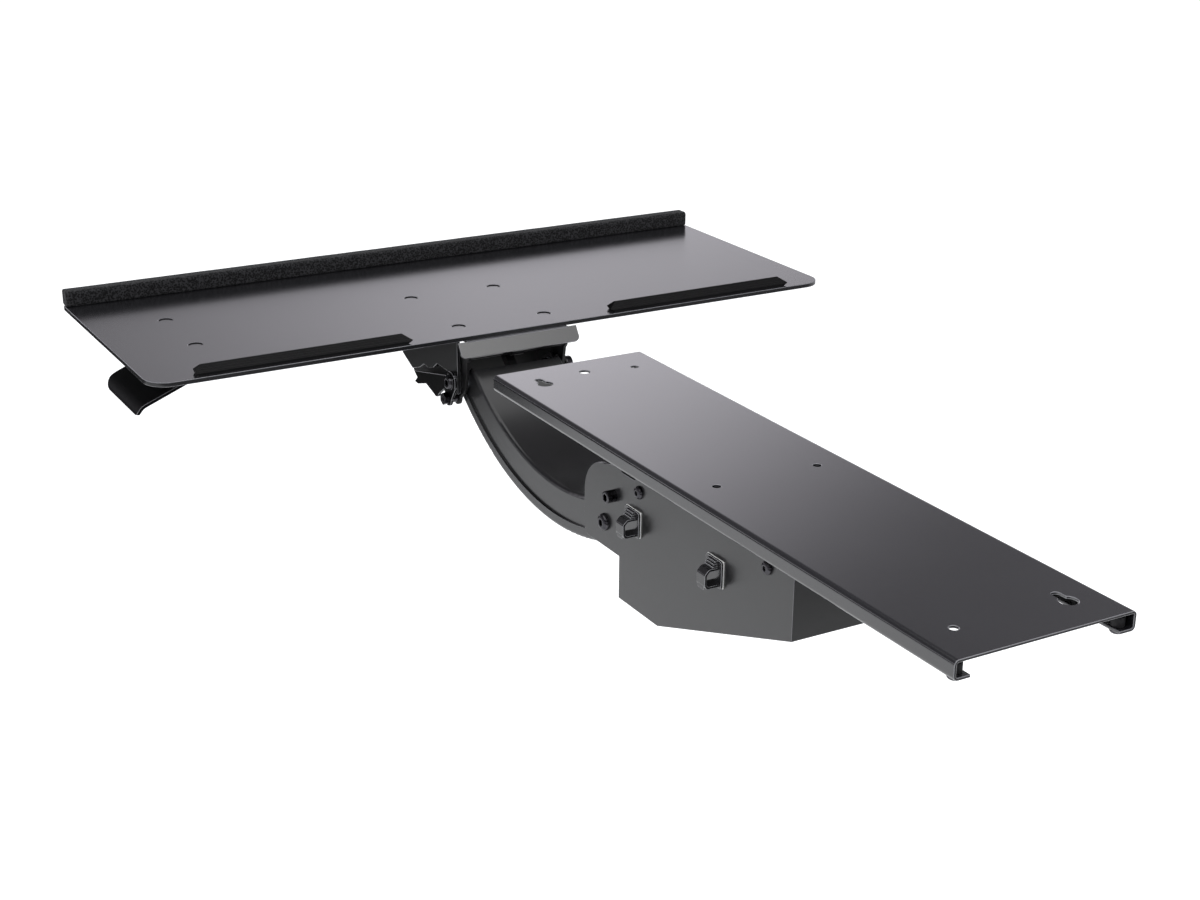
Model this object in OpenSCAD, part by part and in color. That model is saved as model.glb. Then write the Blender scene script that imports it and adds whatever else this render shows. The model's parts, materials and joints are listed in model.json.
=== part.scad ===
// Keyboard tray that hangs under a desk: slide track, swivelling lift arm and tray.
// +Z is up, X runs along the tray, -Y points to the user.
// The origin is the middle of the track's top face, which lies against the desk.

/* [Track] */
// Length of the slide track
track_len = 595; // [520:5:680]
// Width of the slide track
track_w = 144; // [140:1:156]
// Depth of the track below the desk
track_h = 14; // [14:0.5:17]
// Thickness of the track sheet
track_t = 2; // [1.8:0.1:2.2]
// Width of each inward lip, measured from the track's side
lip_w = 13; // [12:0.5:14]
// Diameter of the wood screw holes
screw_hole_d = 6.4; // [5:0.2:7]
// Distance of the screw holes from the track's long centre line
screw_hole_x = 44; // [30:1:46]
// Distance of the end screw holes from the track's ends
screw_hole_end = 35; // [30:1:50]
// Diameter of the keyholes' round ends
keyhole_d = 13; // [11:0.5:15]
// Diameter of the hole on the centre line at the track's front end
centre_hole_d = 9; // [7:0.5:11]

/* [Carriage] */
// Length of the carriage along the track
carriage_len = 150; // [130:5:170]
// Distance of the swivel axis in front of the track's middle
swivel_front = 30; // [20:1:40]
// Radius of the swivel disc
swivel_r = 44; // [36:1:46]
// Radius of the swivel stud
stud_r = 6; // [5:0.5:7]

/* [Swivel base] */
// Width of the cover over its side plates
cover_w = 112; // [110:1:116]
// Thickness of the cover's sheet
cover_t = 1.5; // [1.2:0.1:1.8]
// Thickness of the frame's side plates
frame_t = 3; // [2.6:0.1:3.2]
// Height of the cover's lowest face below the desk
cover_drop = 132; // [126:1:145]
// Height of the cover's rear corner below the desk
cover_rear_drop = 71; // [60:1:85]
// Distance from the swivel axis to the cover's rear face
cover_rear = 145; // [138:1:160]
// Distance from the swivel axis to the cover's front face
cover_front = 85; // [80:1:86]
// Length of the cover's flat bottom
cover_flat = 58; // [40:1:80]
// Radius of the frame's rounded ears
ear_r = 32; // [30:0.5:34]

/* [Arm] */
// Distance from the swivel axis forward to the lower pivot
base_pivot_reach = 110; // [108:1:114]
// Height of the lower pivot below the desk
base_pivot_drop = 77; // [75:1:79]
// Radius of the arc that the arm's pivots lie on
pivot_arc_r = 251; // [248:1:256]
// Angle of the lower pivot behind the arc's lowest point
base_pivot_a = 24.4; // [24:0.1:25]
// Angle of the head pivot in front of the arc's lowest point
head_pivot_a = 40.8; // [40.4:0.1:41.4]
// Distance of the head pivot outside the arc of the pivots
head_pivot_out = 3.5; // [3:0.1:4]
// Gap between each side of the arm and the frame
arm_side_gap = 5.5; // [5:0.25:6.5]
// Height of the arm's section
arm_h = 36; // [36:0.5:38]
// Thickness of the arm's shells
shell_t = 2; // [1.6:0.1:2.2]
// Height of the outer shell's side walls
outer_wall_h = 9.5; // [7:0.5:12]
// Radius of the pivot bolts
bolt_r = 4; // [3.5:0.25:4.5]
// Distance between the two pivots at each end, measured along the track
link_dy = 14; // [13:0.5:15]
// Distance between the two pivots at each end, measured upward
link_dz = 27; // [26.5:0.25:28]

/* [Tray] */
// Length of the tray board
tray_w = 668; // [600:2:720]
// Depth of the tray board from front to back
tray_d = 260; // [240:2:280]
// Thickness of the tray board's sheet
tray_t = 2; // [1.6:0.1:2.2]
// Width of the hem folded under the board's edges
hem_w = 12; // [8:1:14]
// Radius of the board's two rear corners
rear_corner_r = 20; // [12:1:26]
// Radius of the board's two front corners
front_corner_r = 3; // [2:0.5:8]
// Height of the board's top face above the head pivot
tray_rise = 46; // [45.5:0.5:49]
// Distance from the head pivot back to the board's rear edge
tray_back = 18; // [17:0.5:19]
// Height of the board's upturned front flange
flange_h = 12; // [9:0.5:13]
// Height of the foam palm rest
rest_h = 14.5; // [14:0.5:20]
// Depth of the foam palm rest
rest_d = 15; // [13:0.5:20]
// Gap from the palm rest's end to the board's end
rest_gap = 1; // [0.5:0.5:20]
// Distance from each rear stop strip's outer end to the board's end
strip_end_gap = 39; // [30:1:60]
// Height of the rear stop strips
strip_h = 7.5; // [6:0.5:9]
// Depth of the rear stop strips
strip_d = 12; // [11:0.5:17]
// Distance from the tray's middle to each strip's inner end
strip_inner = 99; // [90:1:112]

/* [Tray bracket] */
// Distance from each side of the arm to the bracket's outer face
bracket_side_gap = 8; // [8:0.5:10]
// Thickness of the tray bracket's sheet
bracket_t = 3; // [2.4:0.1:3]
// Length of the tray bracket
bracket_len = 152; // [145:1:160]
// Distance of the tray bolts from the inner faces of the bracket's sides
tray_bolt_inset = 8; // [6.5:0.5:15]
// Distance of the rear tray bolts from the board's rear edge
tray_bolt_rear = 31; // [28:1:34]
// Distance between the tray bolt rows
tray_bolt_pitch = 102; // [90:1:106]

/* [Paddle] */
// Distance from the board's right end in to the paddle's hinge
paddle_inset = 68; // [60:1:80]
// Distance from the board's rear edge to the paddle's middle
paddle_back = 104; // [80:1:130]
// Width of the paddle's grip
paddle_w = 95; // [76:1:110]
// Thickness of the paddle's plate
paddle_t = 3; // [2.4:0.1:3.6]
// Length of the paddle's straight part
paddle_len = 61; // [50:1:66]
// Slope of the paddle below the tray
paddle_slope = 22; // [18:1:25]

/* [Cable clips] */
// Side of a clip's square adhesive plate
clip_side = 21; // [18:1:24]
// Distance that a clip's loop stands out
clip_loop_d = 11; // [9:0.5:12]
// Height of a clip's loop
clip_loop_h = 15; // [12:0.5:16]
// Width of a clip's loop
clip_loop_w = 11; // [8:0.5:13]

/* [Hidden] */
$fn = 48;

// Fits and small clearances
run_fit = 0.05;
slide_gap = 0.3;
hole_gap = 0.1;
cut = 1;

// Track
track_bend_r = 3.5;
track_in_w = track_w - 2 * track_t;
lip_inner_x = track_w / 2 - lip_w;
end_hole_y = track_len / 2 - screw_hole_end;
keyhole_slot_w = 6.4;
keyhole_slot_len = 11;
keyhole_shift = 4;
centre_hole_front = 8;
stop_x = (lip_inner_x + track_w / 2 - track_t) / 2;
stop_y = track_len / 2 - 8;
stop_bolt_r = 2.5;
stop_sleeve_r = 4.6;
stop_head_r = 5;
stop_head_h = 3;

// Carriage, which runs in the track
swivel_y = -swivel_front;
glide_top = -track_t - slide_gap;
glide_bottom = -track_h + track_t + slide_gap;
glide_outer_x = track_in_w / 2 - slide_gap;
glide_inner_x = lip_inner_x + 0.4;
glide_len = 45;
plate_t = 3;
plate_bottom = (glide_top + glide_bottom) / 2 - plate_t / 2;
plate_x = glide_outer_x - 5;
rivet_r = 1.5;
disc_bottom = -track_h - 1;
disc_t = 3;
washer_t = 1.5;
frame_top = disc_bottom - washer_t - 0.2;
stud_head_r = 9;
stud_head_h = 3.4;
swivel_nut_r = 10;
swivel_nut_h = 6;

// Swivel base
frame_x = cover_w / 2 - cover_t;
frame_in_x = frame_x - frame_t;
cover_top = -track_h - 8;
cover_notch_top = cover_top - 4;
cover_notch_len = 22;
cover_y0 = swivel_y - cover_front;
cover_y1 = swivel_y + cover_rear;
frame_bridge_len = 150;
base_y = swivel_y - base_pivot_reach;
base_z = -base_pivot_drop;
ear_cy = base_y - 1;
ear_rise = 16;
ear_fall = 21;
ear_cz = base_z + ear_rise;
ear_front = ear_cy - ear_r;
ear_top = ear_cz + ear_r;
ear_bottom = base_z - ear_fall;
ear_corner_r = 5;
cover_screw_r = 2.5;
cover_screw_head_r = 5.25;
cover_screw_head_h = 3.2;
cover_screw_front = 29;
cover_screw_rear = 31;
cover_screw_down = [7, 6];
cover_screw_at = [[cover_y0 + cover_screw_front, cover_notch_top - cover_screw_down[0]],
    [cover_y1 - cover_screw_rear, cover_top - cover_screw_down[1]]];
frame_foot_len = 40;
frame_slope_end = [45, 0.62];
frame_rear_gap = 20;
frame_rear_h = 16;

// Cable clips, as (y, z) places on the cover's side
clip_front_back = 22;
clip_front_down = 33;
clip_rear_back = 136;
clip_rear_down = 29;
clip_front_at = [cover_y0 + clip_front_back, cover_notch_top - clip_front_down];
clip_rear_at = [cover_y0 + clip_rear_back, cover_notch_top - clip_rear_down];
clip_pad_t = 1;
clip_plate_t = 1.6;
clip_wall = 1.8;
clip_loop_low = 3;

// Arm: a band between two arcs about one centre
arc_y = base_y - pivot_arc_r * sin(base_pivot_a);
arc_z = base_z + pivot_arc_r * cos(base_pivot_a);
arm_w = 2 * (frame_in_x - arm_side_gap);
arm_r0 = pivot_arc_r - arm_h / 2;
arm_r1 = pivot_arc_r + arm_h / 2;
arm_in_x = arm_w / 2 - shell_t;
arm_bend_r = 3.5;
cheek_inset = 0.1;
cheek_r = 15.4;
head_cheek_r = 12;
top_end_a = -head_pivot_a + 1.2;
top_base_a = 19.5;
cheek_base_a = base_pivot_a - 0.6;
outer_base_a = 20.5;
bush_r = 7;
bush_x0 = arm_in_x - shell_t - 1;
bush_x1 = arm_w / 2 + 0.8;

// Lower pivots of the arm and of the control link
link_y = base_y + link_dy;
link_z = base_z + link_dz;
pivot_head_r = 7;
pivot_head_h = 4.2;
pivot_nut_r = 7.4;
pivot_nut_h = 6.2;
axle_r = 4.5;
link_screw_r = 3;
link_head_r = 5;
link_head_h = 8.5;
link_eye_r = 6.3;
link_half_t = 4;
link_arc_r = pivot_arc_r - 6;
link_bar = 8;
link_base_a = 23;
link_limb_r = 4.4;

// Head pivots
head_r = pivot_arc_r + head_pivot_out;
head_y = arc_y - head_r * sin(head_pivot_a);
head_z = arc_z - head_r * cos(head_pivot_a);
head_link_y = head_y + link_dy;
head_link_z = head_z + link_dz;
knuckle_x = arm_w / 2 + 1;
knuckle_t = 2.8;
knuckle_reach = 37;
knuckle_front = head_y - knuckle_reach;
knuckle_above = 20;
knuckle_below = 18;
knuckle_r = 13;
knuckle_nose = [[-36, 15], [-70, -1], [-99, -16], [-96, -19.5], [-60, -17], [-36, -17]];
bracket_w = arm_w + 2 * bracket_side_gap;
bracket_x = bracket_w / 2;
bracket_in_x = bracket_x - bracket_t;
bracket_bend_r = bracket_t + 0.6;
tray_bolt_x = bracket_in_x - tray_bolt_inset;
bracket_eye_r = 12;
bracket_edge = [[15, 14], [bracket_eye_r, 0], [-8, -9], [-15, 5], [-37, 6], [-45, 0], [-56, -4], [-66, -3],
    [-76, -9], [-91, -14], [-112, -5]];
lock_x = bracket_x + 2;
lock_t = 2.5;
head_bolt_head_r = 7.5;
head_bolt_head_h = 4;
head_bolt_left_h = 7.5;
lock_bolt_y = head_y - 6;
lock_bolt_down = 17;
lock_bolt_z = head_z - lock_bolt_down;
head_spacer_r = 9;
lock_bolt_r = 3;
lock_lobe_r = 7;
lock_eye_r = 9.5;
lock_hook = [[8, 7.5], [-78, -12], [-71, -16.5], [-77, -22], [-70, -22.5], [-52, -17], [-38, -21],
    [-31, -23], [-24, -18], [-14, -11], [4, -10]];
lock_web = [[-10, -4], [-13, -17], [1, -17], [10, -4]];
lock_toe = [-31, -16.5];
lock_toe_r = 6.5;

// Tray
tray_top = head_z + tray_rise;
tray_under = tray_top - tray_t;
tray_rear = head_y + tray_back;
tray_front = tray_rear - tray_d;
hem_t = 2;
bracket_rear = tray_rear - hem_w - 0.4;
bracket_front = bracket_rear - bracket_len;
bolt_rows = [tray_rear - tray_bolt_rear, tray_rear - tray_bolt_rear - tray_bolt_pitch];
tray_bolt_r = 2.5;
tray_bolt_head_r = 6.5;
tray_bolt_head_h = 1;
tray_nut_r = 5;
tray_nut_h = 4;
strip_len = tray_w / 2 - strip_end_gap - strip_inner;
strip_rear_gap = 5;
strip_tip_h = 2.5;
strip_foot_in = 4.4;
strip_top_in = 7.7;
rest_y = tray_front + tray_t / 2 + 2;
rest_slot = 0.4;
flap_t = 2.5;
flap_len = 15;
flap_a = 55;
flap_r = 5;
flap_w = bracket_w + 10;
tongue_w = bracket_w - 8;
tongue_top = tray_under - hem_t - 0.3;
flap_sink = 0.4;
tongue_end = tray_rear + 1;

// Paddle
paddle_hinge_x = tray_w / 2 - paddle_inset;
paddle_y = tray_rear - paddle_back;
paddle_bolt_rear = 15;
paddle_bolt_front = 67;
paddle_bolt_y = [paddle_y + paddle_bolt_rear, paddle_y - paddle_bolt_front];
paddle_plate_w = 34;
paddle_plate_rim = 12;
paddle_drop = 12;
paddle_pin_z = tray_under - paddle_drop;
paddle_pin_r = 2.5;
paddle_eye_r = 5;
paddle_lug_t = 3;
paddle_lug_gap = 54;
paddle_curl_r = 12;
paddle_curl_a = 55;
grip_start = 14;

// Draw a flat (y, z) outline as a plate that starts at x0
module along_x(x0, len) {
    translate([x0, 0, 0]) rotate([90, 0, 90]) linear_extrude(len) children();
}

// Draw a flat (x, z) outline as a bar that starts at y0
module along_y(y0, len) {
    translate([0, y0 + len, 0]) rotate([90, 0, 0]) linear_extrude(len) children();
}

// A round bar along X at a (y, z) place
module rod_x(x0, x1, r, at) {
    translate([x0, at[0], at[1]]) rotate([0, 90, 0]) cylinder(h = x1 - x0, r = r);
}

// A round bar along Y at an (x, z) place
module rod_y(y0, y1, r, at) {
    translate([at[0], y1, at[1]]) rotate([90, 0, 0]) cylinder(h = y1 - y0, r = r);
}

// A six-sided nut along X at a (y, z) place
module nut_x(x0, x1, r, at) {
    translate([x0, at[0], at[1]]) rotate([0, 90, 0]) cylinder(h = x1 - x0, r = r, $fn = 6);
}

// The same piece on both sides of the middle plane
module both_sides() {
    children();
    mirror([1, 0, 0]) children();
}

// A rectangle from corner a to corner b with round corners
module round_rect(a, b, r) {
    translate([a[0] + r, a[1]]) square([b[0] - a[0] - 2 * r, b[1] - a[1]]);
    translate([a[0], a[1] + r]) square([b[0] - a[0], b[1] - a[1] - 2 * r]);
    for (x = [a[0] + r, b[0] - r], y = [a[1] + r, b[1] - r]) translate([x, y]) circle(r);
}

// A flat (y, z) band between two arcs about the arm's arc centre
module arc_band(r0, r1, a0, a1) {
    mid = (a0 + a1) / 2;
    far = 2 * r1;
    intersection() {
        translate([arc_y, arc_z]) difference() {
            circle(r1, $fn = 180);
            circle(r0, $fn = 180);
        }
        polygon([[arc_y, arc_z], on_arc(far, a0), on_arc(far, mid), on_arc(far, a1)]);
    }
}

// Turn an (r, x) outline about the arm's arc centre, from angle a0 to a1
module along_arc(a0, a1) {
    translate([0, arc_y, arc_z]) rotate([90, 0, 90]) rotate([0, 0, a0 - 90])
        rotate_extrude(angle = a1 - a0, $fn = 96) children();
}

// The plain C section of the track
module track_section() {
    difference() {
        round_rect([-track_w / 2, -track_h], [track_w / 2, 0], track_bend_r);
        round_rect([-track_in_w / 2, -track_h + track_t], [track_in_w / 2, -track_t],
            track_bend_r - track_t);
        translate([-lip_inner_x, -track_h - cut]) square([2 * lip_inner_x, track_t + 2 * cut]);
    }
}

// A keyhole with its slot toward the user
module keyhole() {
    translate([0, 0, -track_t - cut]) {
        cylinder(h = track_t + 2 * cut, r = keyhole_d / 2);
        translate([0, -keyhole_slot_len, 0]) cylinder(h = track_t + 2 * cut, r = keyhole_slot_w / 2);
        translate([-keyhole_slot_w / 2, -keyhole_slot_len, 0])
            cube([keyhole_slot_w, keyhole_slot_len, track_t + 2 * cut]);
    }
}

// The four places where something stands at the track's ends
module at_stops() {
    for (sx = [-1, 1], sy = [-1, 1]) translate([sx * stop_x, sy * stop_y, 0]) children();
}

// Channel of folded sheet that screws to the desk
module track() {
    color("#35353a") difference() {
        along_y(-track_len / 2, track_len) track_section();
        for (p = [[-screw_hole_x, -end_hole_y, screw_hole_d], [screw_hole_x, end_hole_y, screw_hole_d],
                  [-screw_hole_x, 0, screw_hole_d], [screw_hole_x, 0, screw_hole_d],
                  [0, -end_hole_y - centre_hole_front, centre_hole_d]])
            translate([p[0], p[1], -track_t - cut])
                cylinder(h = track_t + 2 * cut, r = p[2] / 2);
        translate([screw_hole_x, -end_hole_y + keyhole_shift, 0]) keyhole();
        translate([-screw_hole_x, end_hole_y + keyhole_shift, 0]) keyhole();
        at_stops() translate([0, 0, -track_h - cut])
            cylinder(h = track_t + 2 * cut, r = stop_bolt_r + hole_gap);
    }
}

// Bolts that close the track's ends, with their heads under the lips
module stop_bolts() {
    color("#1c1c1e") at_stops() {
        translate([0, 0, -track_h - stop_head_h]) cylinder(h = stop_head_h, r = stop_head_r);
        translate([0, 0, -track_h - cut / 2])
            cylinder(h = track_h - track_t - 1, r = stop_bolt_r);
    }
}

// Rubber sleeves on the stop bolts
module stop_sleeves() {
    color("#141414") at_stops() difference() {
        translate([0, 0, -track_h + track_t])
            cylinder(h = track_h - 2 * track_t - 3, r = stop_sleeve_r);
        translate([0, 0, -track_h]) cylinder(h = track_h, r = stop_bolt_r + run_fit);
    }
}

// The four glide places of the carriage
module at_glides() {
    for (sy = [-1, 1]) translate([0, swivel_y + sy * (carriage_len - glide_len) / 2, 0]) children();
}

// Rivets through glides and plate
module rivet_rods(r) {
    for (sx = [-1, 1], dy = [-12, 12]) at_glides()
        translate([sx * (plate_x - 2.2), dy, glide_bottom + 1])
            cylinder(h = glide_top - glide_bottom - 2, r = r);
}

// Sheet plate in the track, pressed down in the middle to a disc below the lips
module carriage_plate() {
    color("#3a3a3d") difference() {
        union() {
            translate([-plate_x, swivel_y - carriage_len / 2, plate_bottom])
                cube([2 * plate_x, carriage_len, plate_t]);
            translate([0, swivel_y, disc_bottom])
                cylinder(h = plate_bottom - disc_bottom + plate_t / 2, r = swivel_r);
        }
        translate([0, swivel_y, disc_bottom + disc_t]) cylinder(h = track_h, r = swivel_r - disc_t);
        translate([0, swivel_y, disc_bottom - cut]) cylinder(h = track_h, r = stud_r + hole_gap);
        rivet_rods(rivet_r);
    }
}

// Nylon blocks that slide on the lips
module carriage_glides() {
    color("#e6e2d6") difference() {
        at_glides() both_sides() along_y(-glide_len / 2, glide_len)
            round_rect([glide_inner_x, glide_bottom], [glide_outer_x, glide_top], 2);
        translate([-plate_x, swivel_y - carriage_len, plate_bottom])
            cube([2 * plate_x, 2 * carriage_len, plate_t]);
        rivet_rods(rivet_r);
    }
}

// Rivets that hold the glides to the plate
module glide_rivets() {
    color("#8f8f92") rivet_rods(rivet_r);
}

// Stud that the base turns about
module swivel_stud() {
    color("#8f8f92") translate([0, swivel_y, 0]) {
        translate([0, 0, disc_bottom + disc_t]) cylinder(h = stud_head_h, r = stud_head_r, $fn = 6);
        translate([0, 0, frame_top - frame_t - swivel_nut_h - 1])
            cylinder(h = disc_bottom + disc_t + 1 - frame_top + frame_t + swivel_nut_h + 1, r = stud_r);
    }
}

// Nylon disc between the carriage and the base
module swivel_washer() {
    color("#e6e2d6") translate([0, swivel_y, disc_bottom - washer_t]) difference() {
        cylinder(h = washer_t, r = swivel_r);
        translate([0, 0, -cut]) cylinder(h = washer_t + 2 * cut, r = stud_r + run_fit);
    }
}

// Nut under the base
module swivel_nut() {
    color("#8f8f92") translate([0, swivel_y, frame_top - frame_t - hole_gap - swivel_nut_h]) difference() {
        cylinder(h = swivel_nut_h, r = swivel_nut_r, $fn = 6);
        translate([0, 0, -cut]) cylinder(h = swivel_nut_h + 2 * cut, r = stud_r);
    }
}

// Outline of one side plate of the base, as (y, z)
module frame_side() {
    difference() {
        union() {
            translate([ear_cy, ear_cz]) circle(ear_r, $fn = 96);
            polygon([
                [ear_front, ear_cz], [ear_front, ear_bottom + ear_corner_r],
                [ear_front + ear_corner_r, ear_bottom], [cover_y0 + frame_foot_len, ear_bottom],
                [cover_y1 - frame_slope_end[0], -cover_rear_drop * frame_slope_end[1]],
                [cover_y1 - frame_rear_gap, cover_top - frame_rear_h],
                [cover_y1 - frame_rear_gap, cover_top],
                [swivel_y + frame_bridge_len / 2, frame_top - frame_t],
                [swivel_y - frame_bridge_len / 2, frame_top - frame_t], [ear_cy, ear_top]
            ]);
        }
        translate([base_y, base_z]) circle(bolt_r + hole_gap);
        translate([link_y, link_z]) circle(link_screw_r + hole_gap);
        for (p = cover_screw_at) translate(p) circle(cover_screw_r + hole_gap);
    }
}

// Folded frame that carries the arm between its two ears
module base_frame() {
    color("#454548") difference() {
        union() {
            both_sides() along_x(frame_in_x, frame_t) frame_side();
            along_y(swivel_y - frame_bridge_len / 2, frame_bridge_len) difference() {
                round_rect([-frame_x, frame_top - 3 * frame_t], [frame_x, frame_top], frame_t);
                round_rect([-frame_in_x, frame_top - 4 * frame_t], [frame_in_x, frame_top - frame_t], 1);
                translate([-frame_x, frame_top - 3 * frame_t - cut])
                    square([2 * frame_x, 2 * frame_t]);
            }
        }
        translate([0, swivel_y, frame_top - frame_t - cut])
            cylinder(h = frame_t + 2 * cut, r = stud_r + run_fit);
    }
}

// Outline of the cover's side, drawn in by d all round
module cover_side(d) {
    polygon([
        [cover_y0 + d, cover_notch_top], [cover_y0 + d, -cover_drop + d],
        [cover_y0 + cover_flat, -cover_drop + d], [cover_y1 - d, -cover_rear_drop + d],
        [cover_y1 - d, cover_top], [cover_y0 + cover_notch_len, cover_top],
        [cover_y0 + cover_notch_len, cover_notch_top]
    ]);
}

// Sheet cover below the base, open above and where the arm leaves it
module cover() {
    color("#404044") difference() {
        along_x(-cover_w / 2, cover_w) cover_side(0);
        along_x(-frame_x, 2 * frame_x) union() {
            cover_side(cover_t);
            translate([cover_y0 + cover_t, cover_notch_top - cut])
                square([cover_y1 - cover_y0 - 2 * cover_t, track_h]);
            translate([cover_y0 - cut, ear_bottom - 2])
                square([cover_y1 - cover_y0 - cover_t + cut, -ear_bottom]);
        }
        for (p = cover_screw_at) rod_x(-cover_w, cover_w, cover_screw_r + hole_gap, p);
    }
}

// Button-head screws of the cover
module cover_screws() {
    color("#1c1c1e") both_sides() for (p = cover_screw_at) difference() {
        union() {
            rod_x(frame_in_x - 2, cover_w / 2 + 1, cover_screw_r, p);
            rod_x(cover_w / 2, cover_w / 2 + cover_screw_head_h, cover_screw_head_r, p);
        }
        rod_x(cover_w / 2 + 1.4, cover_w, 1.6, p);
    }
}

// An adhesive cable clip on the cover's side, centred at a (y, z) place
module cable_clip(at) {
    plate_x0 = cover_w / 2 + clip_pad_t;
    loop_z = at[1] - clip_loop_low;
    color("#1b1b1d") {
        translate([plate_x0, at[0] - clip_side / 2, at[1] - clip_side / 2])
            cube([clip_plate_t, clip_side, clip_side]);
        along_y(at[0] - clip_loop_w / 2, clip_loop_w) difference() {
            translate([plate_x0 + 1, loop_z - clip_loop_h / 2]) square([clip_loop_d, clip_loop_h]);
            translate([plate_x0 + clip_plate_t, loop_z - clip_loop_h / 2 + clip_wall])
                square([clip_loop_d + 1 - clip_plate_t - clip_wall, clip_loop_h - 2 * clip_wall]);
        }
        for (i = [0:2])
            translate([plate_x0 + 1.5, at[0] - clip_loop_w / 2, loop_z + clip_loop_h / 2 + 2 * i])
                cube([5 - i, clip_loop_w, 1]);
    }
}

module cable_clip_front() cable_clip(clip_front_at);
module cable_clip_rear() cable_clip(clip_rear_at);

// Foam pads behind the cable clips
module clip_pads() {
    color("#c9c9c9") for (p = [clip_front_at, clip_rear_at])
        translate([cover_w / 2, p[0] - clip_side / 2, p[1] - clip_side / 2])
            cube([clip_pad_t, clip_side, clip_side]);
}

// Bolts of the arm's lower pivot
module base_pivot_bolts() {
    color("#1c1c1e") both_sides() difference() {
        union() {
            rod_x(bush_x0 - pivot_nut_h - 1, frame_x + 1, bolt_r, [base_y, base_z]);
            rod_x(frame_x, frame_x + pivot_head_h, pivot_head_r, [base_y, base_z]);
        }
        rod_x(frame_x + 2, cover_w, 2.2, [base_y, base_z]);
    }
}

// Nuts inside the arm at its lower pivot
module base_pivot_nuts() {
    color("#8f8f92") both_sides() difference() {
        nut_x(bush_x0 - pivot_nut_h - 0.2, bush_x0 - 0.2, pivot_nut_r, [base_y, base_z]);
        rod_x(0, arm_w, bolt_r, [base_y, base_z]);
    }
}

// Spacers between the ears and the arm
module base_pivot_spacers() {
    color("#8f8f92") both_sides() difference() {
        rod_x(bush_x1 + 0.2, frame_in_x, bush_r + 2, [base_y, base_z]);
        rod_x(0, frame_x, bolt_r, [base_y, base_z]);
    }
}

// Axle of the control link across the frame
module link_axle() {
    color("#8f8f92") difference() {
        rod_x(-frame_in_x, frame_in_x, axle_r, [link_y, link_z]);
        both_sides() rod_x(frame_in_x - 15, frame_in_x + cut, link_screw_r, [link_y, link_z]);
    }
}

// Cap screws that hold the link's axle
module link_screws() {
    color("#161618") both_sides() difference() {
        union() {
            rod_x(frame_in_x - 14, frame_x + 1, link_screw_r, [link_y, link_z]);
            rod_x(frame_x, frame_x + link_head_h, link_head_r, [link_y, link_z]);
        }
        translate([frame_x + link_head_h - 4, link_y, link_z]) rotate([0, 90, 0])
            cylinder(h = 5, r = 2.9, $fn = 6);
    }
}

// Section of the arm's inner shell as (r, x): closed on top, with walls that hang down
module inner_shell_section() {
    difference() {
        round_rect([arm_r0, -arm_in_x], [arm_r1 + arm_h, arm_in_x], arm_bend_r);
        round_rect([arm_r0 + shell_t, -arm_in_x + shell_t], [arm_r1 + arm_h + cut, arm_in_x - shell_t], 1.5);
        translate([arm_r1 - shell_t, -arm_w]) square([2 * arm_h, 2 * arm_w]);
    }
}

// Section of the arm's outer shell as (r, x): a shallow tray outside the inner shell
module outer_shell_section() {
    difference() {
        round_rect([arm_r0, -arm_w / 2], [arm_r1, arm_w / 2], arm_bend_r);
        translate([arm_r0 - cut, -arm_in_x]) square([arm_h - shell_t + cut, 2 * arm_in_x]);
        translate([arm_r0 - cut, -arm_w]) square([arm_h - outer_wall_h + cut, 2 * arm_w]);
    }
}

// Upper shell of the arm with the pivot cheeks at both ends
module arm_inner_shell() {
    color("#333336") difference() {
        union() {
            along_arc(top_end_a, top_base_a) inner_shell_section();
            both_sides() along_x(arm_in_x - shell_t + cheek_inset, shell_t - 2 * cheek_inset) {
                arc_band(arm_r0 + 0.3, arm_r1 - shell_t - 0.3, top_base_a - 1, cheek_base_a);
                arc_band(arm_r0 + 3, arm_r1 - shell_t - 0.3, -head_pivot_a, top_end_a + 1);
                translate([base_y, base_z]) circle(cheek_r);
                translate([head_y, head_z]) circle(head_cheek_r);
            }
        }
        for (p = [[base_y, base_z], [head_y, head_z]]) rod_x(-arm_w, arm_w, bush_r - 1, p);
    }
}

// Lower shell of the arm
module arm_outer_shell() {
    color("#454548") difference() {
        along_arc(-head_pivot_a + 0.5, outer_base_a) outer_shell_section();
        both_sides() rod_x(arm_in_x - cut, arm_w, bush_r + 3, [head_y, head_z]);
    }
}

// Bushes fixed in the arm's cheeks
module arm_bushes() {
    color("#8f8f92") both_sides() for (p = [[base_y, base_z], [head_y, head_z]]) difference() {
        union() {
            rod_x(bush_x0, bush_x1, bush_r - 1, p);
            rod_x(bush_x0, arm_in_x - shell_t, bush_r + 1, p);
            rod_x(arm_in_x, bush_x1, bush_r + 1, p);
        }
        rod_x(0, arm_w, bolt_r + run_fit, p);
    }
}

// A straight limb of the control link between two (y, z) places
module link_limb(p, q) {
    len = norm(q - p);
    translate(p) rotate(atan2(q[1] - p[1], q[0] - p[0]))
        translate([0, -link_limb_r]) square([len, 2 * link_limb_r]);
    for (c = [p, q]) translate(c) circle(link_limb_r);
}

function on_arc(r, a) = [arc_y + r * sin(a), arc_z - r * cos(a)];

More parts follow.
